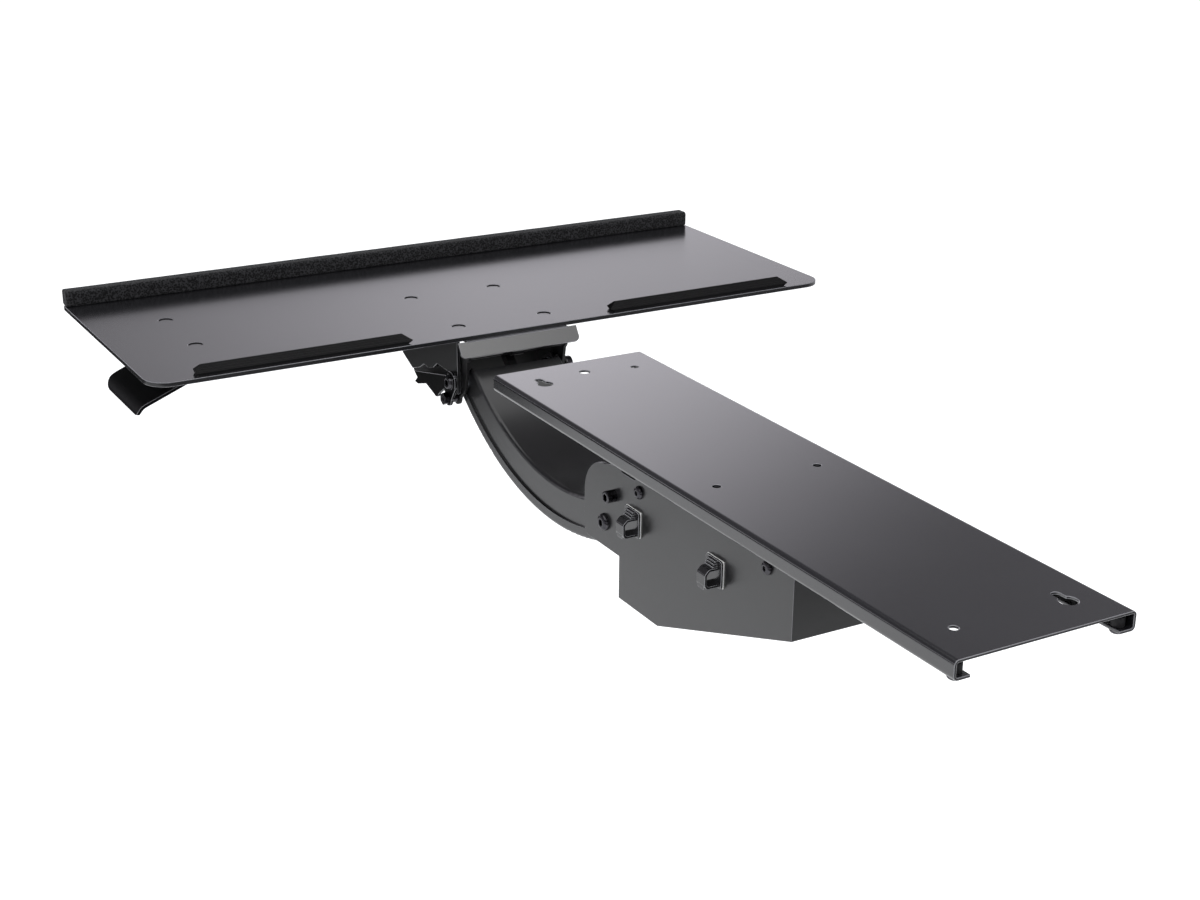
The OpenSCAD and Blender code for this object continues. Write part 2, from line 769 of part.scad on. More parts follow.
// Levelling bar inside the arm, hooked round the upper shell's head end
module control_link() {
    lower = [link_y, link_z];
    upper = [head_link_y, head_link_z];
    base_end = on_arc(link_arc_r, link_base_a);
    head_end = on_arc(link_arc_r, -head_pivot_a - 1);
    hook = [upper + [-14, 3], upper + [-22, -7]];
    color("#2b2b2e") difference() {
        union() {
            along_x(-link_half_t, 2 * link_half_t) {
                arc_band(link_arc_r - link_bar / 2, link_arc_r + link_bar / 2,
                    -head_pivot_a - 1, link_base_a);
                link_limb(base_end, lower);
                link_limb(upper, hook[0]);
                link_limb(hook[0], hook[1]);
                link_limb(hook[1], head_end);
            }
            for (p = [lower, upper]) rod_x(-link_half_t - 2, link_half_t + 2, link_eye_r, p);
        }
        for (p = [lower, upper]) rod_x(-arm_w, arm_w, axle_r + run_fit, p);
    }
}

// Outline of a knuckle cheek as (y, z)
module knuckle_side() {
    difference() {
        union() {
            translate([head_y, head_z]) circle(knuckle_r);
            translate([head_link_y, head_link_z]) circle(link_eye_r);
            translate([lock_bolt_y, lock_bolt_z]) circle(lock_lobe_r);
            polygon([
                [head_link_y + 0.8 * link_eye_r, head_link_z + 0.6 * link_eye_r],
                [head_y + knuckle_r, head_z],
                [lock_bolt_y + lock_lobe_r, lock_bolt_z], [lock_bolt_y, lock_bolt_z - lock_lobe_r],
                [knuckle_front, head_z - knuckle_below], [knuckle_front, head_z + knuckle_above],
                [head_link_y - 0.8 * link_eye_r, head_link_z + 0.6 * link_eye_r]
            ]);
            translate([head_y, head_z]) polygon(knuckle_nose);
        }
        translate([head_y, head_z]) circle(bolt_r + hole_gap);
        translate([head_link_y, head_link_z]) circle(axle_r);
        translate([lock_bolt_y, lock_bolt_z]) circle(lock_bolt_r + hole_gap);
    }
}

// Clevis at the arm's head that stays level
module knuckle() {
    color("#2b2b2e") {
        both_sides() along_x(knuckle_x, knuckle_t) knuckle_side();
        translate([-knuckle_x - knuckle_t, knuckle_front, head_z - knuckle_below])
            cube([2 * (knuckle_x + knuckle_t), knuckle_t, knuckle_above + knuckle_below]);
    }
}

// Pin of the control link at the head
module knuckle_pin() {
    color("#8f8f92") difference() {
        rod_x(-knuckle_x - knuckle_t, knuckle_x + knuckle_t, axle_r, [head_link_y, head_link_z]);
        rod_x(-arm_w, -knuckle_x - 1, 1.5, [head_link_y, head_link_z]);
    }
}

// The right bolt also holds the lock plate, the left one ends at the bracket
module head_bolts() {
    color("#1c1c1e") {
        rod_x(bush_x0 - pivot_nut_h - 1, lock_x + lock_t + 1, bolt_r, [head_y, head_z]);
        rod_x(lock_x + lock_t, lock_x + lock_t + head_bolt_head_h, head_bolt_head_r, [head_y, head_z]);
        mirror([1, 0, 0]) {
            rod_x(bush_x0 - pivot_nut_h - 1, bracket_x + 3, bolt_r, [head_y, head_z]);
            rod_x(bracket_x + 2, bracket_x + 2 + head_bolt_left_h, head_bolt_head_r, [head_y, head_z]);
        }
    }
}

// Nuts inside the arm at its head pivot
module head_nuts() {
    color("#8f8f92") both_sides() difference() {
        nut_x(bush_x0 - pivot_nut_h - 0.2, bush_x0 - 0.2, pivot_nut_r, [head_y, head_z]);
        rod_x(0, arm_w, bolt_r, [head_y, head_z]);
    }
}

// Washers between the knuckle, the bracket and the bolt heads
module head_spacers() {
    color("#8f8f92") both_sides() for (x = [[knuckle_x + knuckle_t, bracket_in_x - 0.3],
                                            [bracket_x + 0.3, lock_x]]) difference() {
        rod_x(x[0], x[1], head_spacer_r, [head_y, head_z]);
        rod_x(0, cover_w, bolt_r, [head_y, head_z]);
    }
}

// Outline of the hooked lock plate as (y, z)
module lock_side() {
    difference() {
        union() {
            translate([head_y, head_z]) circle(lock_eye_r);
            translate([lock_bolt_y, lock_bolt_z]) circle(lock_lobe_r);
            translate([head_y, head_z]) polygon(lock_hook);
            translate([head_y, head_z]) polygon(lock_web);
            translate([head_y, head_z] + lock_toe) circle(lock_toe_r);
        }
        translate([head_y, head_z]) circle(bolt_r + hole_gap);
        translate([lock_bolt_y, lock_bolt_z]) circle(lock_bolt_r + hole_gap);
    }
}

// Hooked plate that locks the tray's tilt, on the right of the head
module lock_plate() {
    color("#303033") along_x(lock_x, lock_t) lock_side();
}

// Bolt, nut and sleeve below the head pivot
module lock_bolt() {
    at = [lock_bolt_y, lock_bolt_z];
    color("#161618") difference() {
        union() {
            rod_x(knuckle_x, lock_x + lock_t + 1, lock_bolt_r, at);
            nut_x(lock_x + lock_t, lock_x + lock_t + 5, 5.8, at);
            rod_x(knuckle_x + knuckle_t, lock_x, 4.6, at);
        }
        rod_x(lock_x + lock_t + 4, cover_w, 2, at);
    }
}

// Outline of the tray bracket's side as (y, z)
module bracket_side() {
    difference() {
        union() {
            translate([head_y, head_z]) circle(bracket_eye_r);
            polygon(concat([
                [bracket_front - cut, tray_under - bracket_t], [bracket_front - cut, tray_under + cut],
                [bracket_rear + cut, tray_under + cut], [bracket_rear + cut, tray_under - 8]
            ], [for (p = bracket_edge) [head_y, head_z] + p]));
        }
        translate([head_y, head_z]) circle(bolt_r + run_fit);
    }
}

// Section of the tray bracket as (x, z): closed on top, with walls that hang down
module bracket_section() {
    difference() {
        round_rect([-bracket_x, 2 * head_z], [bracket_x, tray_under], bracket_bend_r);
        round_rect([-bracket_in_x, 2 * head_z - bracket_t], [bracket_in_x, tray_under - bracket_t],
            bracket_bend_r - bracket_t);
    }
}

// Bracket under the tray: folded sheet with two side plates and a rear flap
module tray_bracket() {
    color("#4a4a4e") difference() {
        union() {
            intersection() {
                along_y(bracket_front, bracket_len) bracket_section();
                along_x(-bracket_w, 2 * bracket_w) bracket_side();
            }
            translate([-tongue_w / 2, bracket_rear - 6, tongue_top - flap_t])
                cube([tongue_w, tongue_end - bracket_rear + 6, flap_t]);
            translate([0, tongue_end - flap_sink, tongue_top - flap_sink]) rotate([-flap_a, 0, 0])
                translate([0, 0, -flap_t]) linear_extrude(flap_t) difference() {
                    round_rect([-flap_w / 2, -flap_r], [flap_w / 2, flap_len], flap_r);
                    translate([-flap_w, -flap_r - cut]) square([2 * flap_w, flap_r + cut]);
                }
        }
        for (x = [-tray_bolt_x, tray_bolt_x], y = bolt_rows) translate([x, y, tray_under - 2 * bracket_t])
            cylinder(h = 4 * bracket_t, r = tray_bolt_r + hole_gap);
    }
}

// Outline of the tray board seen from above, drawn in by d all round
module board_outline(d) {
    x = tray_w / 2 - d;
    y0 = tray_front + d;
    y1 = tray_rear - d;
    rr = rear_corner_r - d / 2;
    fr = max(front_corner_r - d, 1);
    translate([-x + rr, y1 - rr]) circle(rr);
    translate([x - rr, y1 - rr]) circle(rr);
    translate([-x + fr, y0 + fr]) circle(fr);
    translate([x - fr, y0 + fr]) circle(fr);
    polygon([[-x + fr, y0], [x - fr, y0], [x, y0 + fr], [x, y1 - rr], [x - rr, y1],
             [-x + rr, y1], [-x, y1 - rr], [-x, y0 + fr]]);
}

// Places of the tray's six bolts
tray_bolt_places = [for (x = [-tray_bolt_x, tray_bolt_x], y = bolt_rows) [x, y]];
paddle_bolt_places = [for (y = paddle_bolt_y) [paddle_hinge_x, y]];

// Steel tray board with a folded hem and an upturned front flange
module tray_board() {
    color("#3b3b3f") difference() {
        union() {
            translate([0, 0, tray_under - hem_t]) linear_extrude(hem_t + tray_t) board_outline(0);
            translate([-tray_w / 2 + rest_gap, rest_y - tray_t / 2, tray_under])
                cube([tray_w - 2 * rest_gap, tray_t, tray_t + flange_h]);
        }
        translate([0, 0, tray_under - hem_t - cut]) linear_extrude(hem_t + cut) board_outline(hem_w);
        for (p = concat(tray_bolt_places, paddle_bolt_places)) translate([p[0], p[1], tray_under - cut]) {
            cylinder(h = tray_t + 2 * cut, r = tray_bolt_r + hole_gap);
            translate([0, 0, tray_t + cut - tray_bolt_head_h])
                cylinder(h = 3, r = tray_bolt_head_r + hole_gap);
        }
    }
}

// Flat-headed bolts flush with the board
module flush_bolts(places, len) {
    color("#2a2a2d") for (p = places) translate([p[0], p[1], tray_top - 0.2]) {
        translate([0, 0, -tray_bolt_head_h + 0.2]) cylinder(h = tray_bolt_head_h - 0.2, r = tray_bolt_head_r);
        translate([0, 0, -len]) cylinder(h = len - 0.5, r = tray_bolt_r);
    }
}

module tray_bolts() flush_bolts(tray_bolt_places, tray_t + bracket_t + tray_nut_h);
module paddle_bolts() flush_bolts(paddle_bolt_places, tray_t + bracket_t + 1.5);

// Nuts under the tray bracket
module tray_nuts() {
    color("#8f8f92") for (p = tray_bolt_places)
        translate([p[0], p[1], tray_under - bracket_t - tray_nut_h]) difference() {
            cylinder(h = tray_nut_h, r = tray_nut_r, $fn = 6);
            translate([0, 0, -cut]) cylinder(h = tray_nut_h + 2 * cut, r = tray_bolt_r);
        }
}

// Ridged stop strip at the board's rear edge, on the right: a ramp whose ends come to a low point
module stop_strip_right() {
    y1 = tray_rear - strip_rear_gap;
    y0 = y1 - strip_d;
    ramp = [[0, 0], [0, 0.3], [1.5, 0.38], [2.2, 0.52], [3.4, 0.56], [4.2, 0.74], [5.4, 0.8], [6.2, 1],
        [8.5, 1]];
    x1 = strip_inner + strip_len;
    color("#161618") translate([0, 0, tray_top]) intersection() {
        along_x(strip_inner, strip_len)
            polygon(concat([for (p = ramp) [y1 - p[0], p[1] * strip_h]], [[y0, 0.4 * strip_h], [y0, 0]]));
        along_y(y0 - cut, strip_d + 2 * cut) polygon([
            [strip_inner + strip_foot_in, 0], [strip_inner, strip_tip_h],
            [strip_inner + strip_top_in, strip_h],
            [x1 - strip_top_in, strip_h], [x1, strip_tip_h], [x1 - strip_foot_in, 0]
        ]);
    }
}

module stop_strip_left() mirror([1, 0, 0]) stop_strip_right();

// Foam palm rest pushed over the front flange
module palm_rest() {
    z0 = tray_top + 0.3;
    color("#1a1a1a") difference() {
        along_x(-tray_w / 2 + rest_gap, tray_w - 2 * rest_gap) difference() {
            round_rect([rest_y - rest_d / 2, z0], [rest_y + rest_d / 2, z0 + rest_h], 4.5);
            translate([rest_y - tray_t / 2 - rest_slot, z0 - cut])
                square([tray_t + 2 * rest_slot, flange_h + cut + 0.4]);
        }
    }
}

// Bracket under the board that carries the paddle's hinge pin
module paddle_bracket() {
    y0 = paddle_bolt_y[1] - paddle_plate_rim;
    y1 = paddle_bolt_y[0] + paddle_plate_rim;
    color("#2b2b2e") difference() {
        union() {
            translate([paddle_hinge_x - paddle_plate_w / 2 - 1, y0, tray_under - bracket_t])
                cube([paddle_plate_w, y1 - y0, bracket_t]);
            for (s = [-1, 1]) {
                y = paddle_y + s * (paddle_lug_gap + paddle_lug_t) / 2 - paddle_lug_t / 2;
                rod_y(y, y + paddle_lug_t, paddle_eye_r, [paddle_hinge_x, paddle_pin_z]);
                translate([paddle_hinge_x - paddle_eye_r, y, paddle_pin_z])
                    cube([2 * paddle_eye_r, paddle_lug_t, paddle_drop - bracket_t / 2]);
            }
        }
        rod_y(paddle_y - paddle_w, paddle_y + paddle_w, paddle_pin_r, [paddle_hinge_x, paddle_pin_z]);
        for (p = paddle_bolt_places) translate([p[0], p[1], tray_under - 2 * bracket_t])
            cylinder(h = 4 * bracket_t, r = tray_bolt_r + hole_gap);
    }
}

// Hinge pin of the paddle
module paddle_pin() {
    half = paddle_lug_gap / 2 + paddle_lug_t;
    color("#8f8f92") difference() {
        rod_y(paddle_y - half, paddle_y + half, paddle_pin_r, [paddle_hinge_x, paddle_pin_z]);
        rod_y(paddle_y + half - 2, paddle_y + half + cut, 1, [paddle_hinge_x, paddle_pin_z]);
    }
}

// Outline of the paddle's grip as (x, z): straight, then curled down at its end
module grip_side() {
    mid = [paddle_len, -paddle_curl_r];
    far = 2 * paddle_curl_r;
    translate([grip_start, -paddle_t / 2]) square([paddle_len - grip_start, paddle_t]);
    intersection() {
        translate(mid) difference() {
            circle(paddle_curl_r + paddle_t / 2, $fn = 96);
            circle(paddle_curl_r - paddle_t / 2, $fn = 96);
        }
        polygon([mid, mid + [0, far], mid + far * [sin(paddle_curl_a), cos(paddle_curl_a)]]);
    }
}

// Curved release paddle below the tray's right end
module release_paddle() {
    eye = paddle_lug_gap - 2;
    color("#1d1d20") translate([paddle_hinge_x, paddle_y, paddle_pin_z]) rotate([0, paddle_slope, 0])
        difference() {
            union() {
                rod_y(-eye / 2, eye / 2, paddle_eye_r, [0, 0]);
                translate([0, -eye / 2, -paddle_t / 2]) cube([grip_start + 4, eye, paddle_t]);
                along_y(-paddle_w / 2, paddle_w) grip_side();
            }
            rod_y(-paddle_w, paddle_w, paddle_pin_r + run_fit, [0, 0]);
        }
}

track();
stop_bolts();
stop_sleeves();
carriage_plate();
carriage_glides();
glide_rivets();
swivel_stud();
swivel_washer();
swivel_nut();
base_frame();
cover();
cover_screws();
cable_clip_front();
cable_clip_rear();
clip_pads();
base_pivot_bolts();
base_pivot_nuts();
base_pivot_spacers();
link_axle();
link_screws();
arm_inner_shell();
arm_outer_shell();
arm_bushes();
control_link();
knuckle();
knuckle_pin();
head_bolts();
head_nuts();
head_spacers();
lock_plate();
lock_bolt();
tray_bracket();
tray_board();
tray_bolts();
tray_nuts();
stop_strip_right();
stop_strip_left();
palm_rest();
paddle_bracket();
paddle_bolts();
paddle_pin();
release_paddle();
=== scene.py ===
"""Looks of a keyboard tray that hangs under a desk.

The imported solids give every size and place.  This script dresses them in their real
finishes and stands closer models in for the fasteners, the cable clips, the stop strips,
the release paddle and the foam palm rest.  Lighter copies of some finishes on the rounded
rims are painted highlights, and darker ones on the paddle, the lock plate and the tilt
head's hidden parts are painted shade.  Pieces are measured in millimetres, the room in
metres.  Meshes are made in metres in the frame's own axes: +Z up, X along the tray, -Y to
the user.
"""

from __future__ import annotations

import json
import logging
import math
from dataclasses import dataclass, field, replace
from enum import Enum
from typing import Any, Callable, Iterable, Sequence

import bmesh
import bpy
from mathutils import Matrix, Vector, noise

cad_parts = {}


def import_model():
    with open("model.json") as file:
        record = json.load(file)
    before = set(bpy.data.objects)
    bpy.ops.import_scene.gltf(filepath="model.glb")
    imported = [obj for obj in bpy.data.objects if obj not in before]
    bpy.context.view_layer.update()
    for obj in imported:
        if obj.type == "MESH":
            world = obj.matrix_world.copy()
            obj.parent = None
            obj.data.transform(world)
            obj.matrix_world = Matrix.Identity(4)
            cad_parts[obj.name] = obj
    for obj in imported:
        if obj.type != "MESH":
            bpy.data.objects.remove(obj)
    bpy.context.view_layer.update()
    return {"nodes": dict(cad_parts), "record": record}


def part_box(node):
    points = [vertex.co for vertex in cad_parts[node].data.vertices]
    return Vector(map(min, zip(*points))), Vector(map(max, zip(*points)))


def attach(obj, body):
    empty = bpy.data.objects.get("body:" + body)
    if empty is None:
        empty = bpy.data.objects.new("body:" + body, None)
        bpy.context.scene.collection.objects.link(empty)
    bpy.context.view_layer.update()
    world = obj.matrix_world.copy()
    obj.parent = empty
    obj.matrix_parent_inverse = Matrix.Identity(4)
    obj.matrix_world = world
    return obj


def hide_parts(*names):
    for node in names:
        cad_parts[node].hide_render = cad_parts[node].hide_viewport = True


log = logging.getLogger("keyboard_tray")
Pairs = tuple[tuple[float, float], ...]

MM = 0.001
RIM_ANGLE = math.radians(28)
FLAT_ANGLE = math.radians(0.3)
SMOOTH_ANGLE = math.radians(32)
SOFT_ANGLE = math.radians(60)
RIM_STEPS = 2
TURN_STEPS = 48
SAME_PLACE_MM = 0.001
WELD_MM = 0.002
# The share of a side that the round at its corner may use, so that two rounds never meet.
SIDE_SHARE = 0.49


# Finishes


def linear(colour: str) -> tuple[float, float, float, float]:
    """Turns an sRGB hex colour into the linear values that a shader takes.

    Args:
        colour: A colour such as "#1d1d1f".

    Returns:
        Red, green, blue and alpha, each from 0 to 1.
    """
    parts = [int(colour[i : i + 2], 16) / 255 for i in (1, 3, 5)]
    red, green, blue = (
        part / 12.92 if part <= 0.04045 else ((part + 0.055) / 1.055) ** 2.4 for part in parts
    )
    return red, green, blue, 1.0


def add_node(
    tree: bpy.types.NodeTree,
    kind: str,
    settings: dict[Any, Any] | None = None,
    links: dict[Any, bpy.types.NodeSocket | bpy.types.Node] | None = None,
) -> bpy.types.Node:
    """Adds a node with its settings and links.

    Args:
        tree: The tree that gets the node.
        kind: The node's type name.
        settings: Values by input name or number, or by property name.
        links: What feeds the node's inputs, by input name or number. A node gives its first
            output.

    Returns:
        The new node.
    """
    node = tree.nodes.new(kind)
    for key, value in (settings or {}).items():
        if isinstance(key, int) or key in node.inputs:
            node.inputs[key].default_value = value
        else:
            setattr(node, key, value)
    for key, source in (links or {}).items():
        socket = source.outputs[0] if isinstance(source, bpy.types.Node) else source
        tree.links.new(socket, node.inputs[key])
    return node


class Grain(Enum):
    """How the fine surface of a finish came about."""

    ORANGE_PEEL = "powder melted in an oven"
    ROLLED = "drawn or rolled metal under plating"
    SPARKED = "moulded in a spark-eroded tool"
    CELLS = "foamed cells under a thin skin"


@dataclass(frozen=True)
class Finish:
    """One material with the way its surface was made. Some are copies of another, lighter for
    painted highlights on rims and darker for painted shade. Lengths are in millimetres.
    """

    name: str
    base: str
    tint: str
    grain: Grain
    grain_mm: float
    relief_mm: float
    roughness: float
    roughness_spread: float
    cloud_mm: float = 90.0
    metallic: float = 0.0
    ior: float = 1.5
    coat: float = 0.0
    coat_roughness: float = 0.1
    coat_ior: float = 1.5
    sheen: float = 0.0
    # The finish of the rounded rims: a lighter copy that paints a highlight along the edges.
    rim: Finish | None = None

    def grain_node(self, tree: bpy.types.NodeTree, place: bpy.types.NodeSocket) -> bpy.types.Node:
        """Draws the fine surface.

        Args:
            tree: The material's node tree.
            place: The coordinates, in metres.

        Returns:
            A node whose value, from 0 to 1, is for height and roughness.
        """
        scale = 1.0 / (self.grain_mm * MM)
        if self.grain is Grain.CELLS:
            settings = {"Scale": scale, "Randomness": 0.9}
            return add_node(tree, "ShaderNodeTexVoronoi", settings, {"Vector": place})
        if self.grain is Grain.ROLLED:
            drawn = {"Scale": (1.0, 1.0, 0.12)}
            place = add_node(tree, "ShaderNodeMapping", drawn, {"Vector": place})
        detail = {Grain.ORANGE_PEEL: 1.5, Grain.ROLLED: 4.0, Grain.SPARKED: 5.0}[self.grain]
        settings = {"Scale": scale, "Detail": detail, "Roughness": 0.55}
        return add_node(tree, "ShaderNodeTexNoise", settings, {"Vector": place})

    def material(self) -> bpy.types.Material:
        """Gives the finish's material, made at its first use.

        Returns:
            The material, whose tone drifts in soft clouds or from cell to cell.
        """
        known = bpy.data.materials.get(self.name)
        if known is not None:
            return known
        made = bpy.data.materials.new(self.name)
        made.use_nodes = True
        tree = made.node_tree
        tree.nodes.clear()
        place = add_node(tree, "ShaderNodeTexCoord").outputs["Object"]
        fine = self.grain_node(tree, place)
        drift, most = fine, 0.75
        if self.grain is not Grain.CELLS:
            cloud = {"Scale": 1.0 / (self.cloud_mm * MM), "Detail": 3.0}
            drift, most = add_node(tree, "ShaderNodeTexNoise", cloud, {"Vector": place}), 0.65
        share = add_node(
            tree, "ShaderNodeMapRange", {"From Min": 0.35, "From Max": most}, {"Value": drift}
        )
        tints = {"data_type": "RGBA", 6: linear(self.base), 7: linear(self.tint)}
        tone = add_node(tree, "ShaderNodeMix", tints, {0: share})
        low = self.roughness - self.roughness_spread
        high = self.roughness + self.roughness_spread
        rough = add_node(
            tree, "ShaderNodeMapRange", {"To Min": low, "To Max": high}, {"Value": fine}
        )
        relief = {"Strength": 1.0, "Distance": self.relief_mm * MM}
        bump = add_node(tree, "ShaderNodeBump", relief, {"Height": fine})
        shader = add_node(
            tree,
            "ShaderNodeBsdfPrincipled",
            {
                "Metallic": self.metallic,
                "IOR": self.ior,
                "Coat Weight": self.coat,
                "Coat Roughness": self.coat_roughness,
                "Coat IOR": self.coat_ior,
                "Sheen Weight": self.sheen,
            },
            {"Base Color": tone.outputs[2], "Roughness": rough, "Normal": bump},
        )
        add_node(tree, "ShaderNodeOutputMaterial", {}, {"Surface": shader})
        return made


# Powder coat where it wraps a cut edge, much lighter than the faces and glossy: a painted highlight
# along the rounded rims.
POWDER_COAT_PAINTED_HIGHLIGHT = Finish(
    "powder_coat_painted_edge_highlight", "#77777b", "#66666a", Grain.ORANGE_PEEL,
    grain_mm=3.0, relief_mm=0.001, roughness=0.25, roughness_spread=0.05, ior=1.6,
    coat=1.0, coat_ior=1.6,
)  # fmt: skip
# Epoxy powder coat on folded steel: near black, satin, with the faint ripple of melted powder.
POWDER_COAT = Finish(
    "powder_coat_black", "#141415", "#18181a", Grain.ORANGE_PEEL,
    grain_mm=3.0, relief_mm=0.0012, roughness=0.3, roughness_spread=0.03, ior=1.55,
    coat=0.6, coat_roughness=0.2, rim=POWDER_COAT_PAINTED_HIGHLIGHT,
)  # fmt: skip
# The same powder in a thicker layer on the slide track: smooth enough to mirror softly.
POWDER_COAT_TRACK = Finish(
    "powder_coat_track", "#17171a", "#1b1b1e", Grain.ORANGE_PEEL,
    grain_mm=2.6, relief_mm=0.0008, roughness=0.2, roughness_spread=0.02, ior=1.6,
    coat=1.0, coat_roughness=0.14, coat_ior=1.6, rim=POWDER_COAT_PAINTED_HIGHLIGHT,
)  # fmt: skip
# Powder coat on the wide board, a little duller, so that its reflections are blurred.
POWDER_COAT_BOARD = Finish(
    "powder_coat_board", "#161618", "#1b1b1d", Grain.ORANGE_PEEL,
    grain_mm=2.2, relief_mm=0.001, roughness=0.24, roughness_spread=0.025,
    coat=0.45, coat_roughness=0.16, rim=POWDER_COAT_PAINTED_HIGHLIGHT,
)  # fmt: skip
# Powder coat on small stamped levers, drawn darker than the rest and with a low IOR so that they
# stay near black in the shade below the board, and a little duller: painted shade.
POWDER_COAT_LEVER_PAINTED_SHADE = Finish(
    "powder_coat_lever_painted_shade", "#080809", "#0b0b0c", Grain.ORANGE_PEEL,
    grain_mm=2.2, relief_mm=0.0015, roughness=0.42, roughness_spread=0.04, ior=1.13,
    rim=POWDER_COAT_PAINTED_HIGHLIGHT,
)  # fmt: skip
# The same powder coat drawn darker on parts that are always in shade: painted shade.
POWDER_COAT_PAINTED_SHADE = Finish(
    "powder_coat_painted_shade", "#0b0b0c", "#0f0f10", Grain.ORANGE_PEEL,
    grain_mm=2.2, relief_mm=0.0015, roughness=0.5, roughness_spread=0.05, ior=1.45,
)  # fmt: skip
# Black-oxided alloy steel of socket screws: dark metal whose oiled edges catch the light.
BLACK_OXIDE = Finish(
    "black_oxide_steel", "#5c5b5e", "#48474b", Grain.ROLLED,
    grain_mm=1.2, relief_mm=0.002, roughness=0.2, roughness_spread=0.05, cloud_mm=8, metallic=1.0,
)  # fmt: skip
# Zinc-plated steel: pale grey with a cool cast and fine drawing marks.
ZINC_PLATE = Finish(
    "zinc_plated_steel", "#b9bcc2", "#a3a6ae", Grain.ROLLED,
    grain_mm=0.8, relief_mm=0.003, roughness=0.33, roughness_spread=0.07, cloud_mm=14, metallic=1.0,
)  # fmt: skip
# Acetal of the glides and the swivel washer: milky white, waxy, with a fine moulded grain.
ACETAL = Finish(
    "acetal_white", "#e4e1d8", "#dad6ca", Grain.SPARKED,
    grain_mm=0.7, relief_mm=0.006, roughness=0.42, roughness_spread=0.06, cloud_mm=30, ior=1.48,
)  # fmt: skip
# Nitrile rubber sleeves: dull black.
NITRILE = Finish(
    "nitrile_rubber", "#17171a", "#1d1d1f", Grain.SPARKED,
    grain_mm=0.9, relief_mm=0.01, roughness=0.62, roughness_spread=0.08, cloud_mm=12, ior=1.52,
)  # fmt: skip
# Soft vinyl of the stop strips, extruded: black with a satin grain.
SOFT_VINYL = Finish(
    "extruded_soft_vinyl", "#0b0b0c", "#0f0f10", Grain.SPARKED,
    grain_mm=1.0, relief_mm=0.006, roughness=0.48, roughness_spread=0.06, cloud_mm=40, ior=1.26,
)  # fmt: skip
# Nylon on the clips' rounded rims, much lighter than the faces: a painted highlight along the
# edges.
NYLON_PAINTED_HIGHLIGHT = Finish(
    "moulded_nylon_painted_edge_highlight", "#a2a2a5", "#8c8c90", Grain.SPARKED,
    grain_mm=0.8, relief_mm=0.003, roughness=0.2, roughness_spread=0.04, cloud_mm=15, ior=1.55,
)  # fmt: skip
# Nylon 66 of the cable clips, moulded: black with glossy faces, and a painted highlight on its
# rims.
MOULDED_NYLON = replace(
    NYLON_PAINTED_HIGHLIGHT, name="moulded_nylon", base="#161618", tint="#1c1c1e", relief_mm=0.004, coat=0.8,
    rim=NYLON_PAINTED_HIGHLIGHT,
)  # fmt: skip
# Polyethylene foam tape behind the clips: off-white with open cut cells.
FOAM_TAPE = Finish(
    "polyethylene_foam_tape", "#fbfbf9", "#dededb", Grain.CELLS,
    grain_mm=0.5, relief_mm=0.05, roughness=0.8, roughness_spread=0.08,
)  # fmt: skip
# Neoprene foam of the palm rest: black skin over fine cells. The real cells are about 0.3 mm
# wide, and they are drawn much coarser so that they show.
NEOPRENE_FOAM = Finish(
    "neoprene_foam", "#020203", "#303032", Grain.CELLS,
    grain_mm=1.6, relief_mm=0.16, roughness=0.86, roughness_spread=0.08, ior=1.3, sheen=0.08,
)  # fmt: skip


# Objects and meshes


def put(name: str, data: bpy.types.ID) -> bpy.types.Object:
    """Puts a new object into the scene.

    Args:
        name: The object's name.
        data: Its mesh, camera or light.

    Returns:
        The object.
    """
    made = bpy.data.objects.new(name, data)
    bpy.context.scene.collection.objects.link(made)
    return made


@dataclass(frozen=True)
class Block:
    """The box round one solid of a node, in metres."""

    low: Vector
    high: Vector

    @property
    def centre(self) -> Vector:
        """The middle of the box."""
        return (self.low + self.high) / 2

    @property
    def size(self) -> Vector:
        """The box's three lengths."""
        return self.high - self.low


def solids_of(node: bpy.types.Object) -> list[Block]:
    """Finds the separate solids of a node.

    Args:
        node: The node's object.

    Returns:
        A box for each solid, in order of place.
    """
    mesh = bmesh.new()
    mesh.from_mesh(node.data)
    bmesh.ops.remove_doubles(mesh, verts=mesh.verts, dist=SAME_PLACE_MM * MM)
    left = set(mesh.verts)
    boxes = []
    while left:
        stack = [left.pop()]
        points = []
        while stack:
            vertex = stack.pop()
            points.append(vertex.co.copy())
            near = {edge.other_vert(vertex) for edge in vertex.link_edges} & left
            left -= near
            stack.extend(near)
        low = Vector(min(p[i] for p in points) for i in range(3))
        high = Vector(max(p[i] for p in points) for i in range(3))
        boxes.append(Block(low, high))
    mesh.free()
    return sorted(boxes, key=lambda b: tuple(round(v, 5) for v in b.centre))


@dataclass(frozen=True)
class Ring:
    """One ring of a turned piece: round, or six-sided where hex_r is the smaller."""

    along: float
    round_r: float
    hex_r: float = math.inf

    def radius(self, angle: float) -> float:
        """Gives the ring's radius.

        Args:
            angle: The angle round the axis, in radians.

        Returns:
            The radius in millimetres.
        """
        if math.isinf(self.hex_r):
            return self.round_r
        sector = math.fmod(angle, math.pi / 3) - math.pi / 6
        return min(self.round_r, self.hex_r * math.cos(math.pi / 6) / math.cos(sector))


def loft(mesh: bmesh.types.BMesh, rings: Sequence[Sequence[Vector]], close: bool = True) -> None:
    """Joins closed rings of points with quads.

    Args:
        mesh: The mesh that gets the faces.
        rings: Rings with the same number of points.
        close: Whether the first and the last ring get a face.
    """
    rows = [[mesh.verts.new(p) for p in ring] for ring in rings]
    count = len(rows[0])
    for a, b in zip(rows, rows[1:]):
        for i in range(count):
            j = (i + 1) % count
            mesh.faces.new((a[i], a[j], b[j], b[i]))
    if close:
        mesh.faces.new(list(reversed(rows[0])))
        mesh.faces.new(rows[-1])


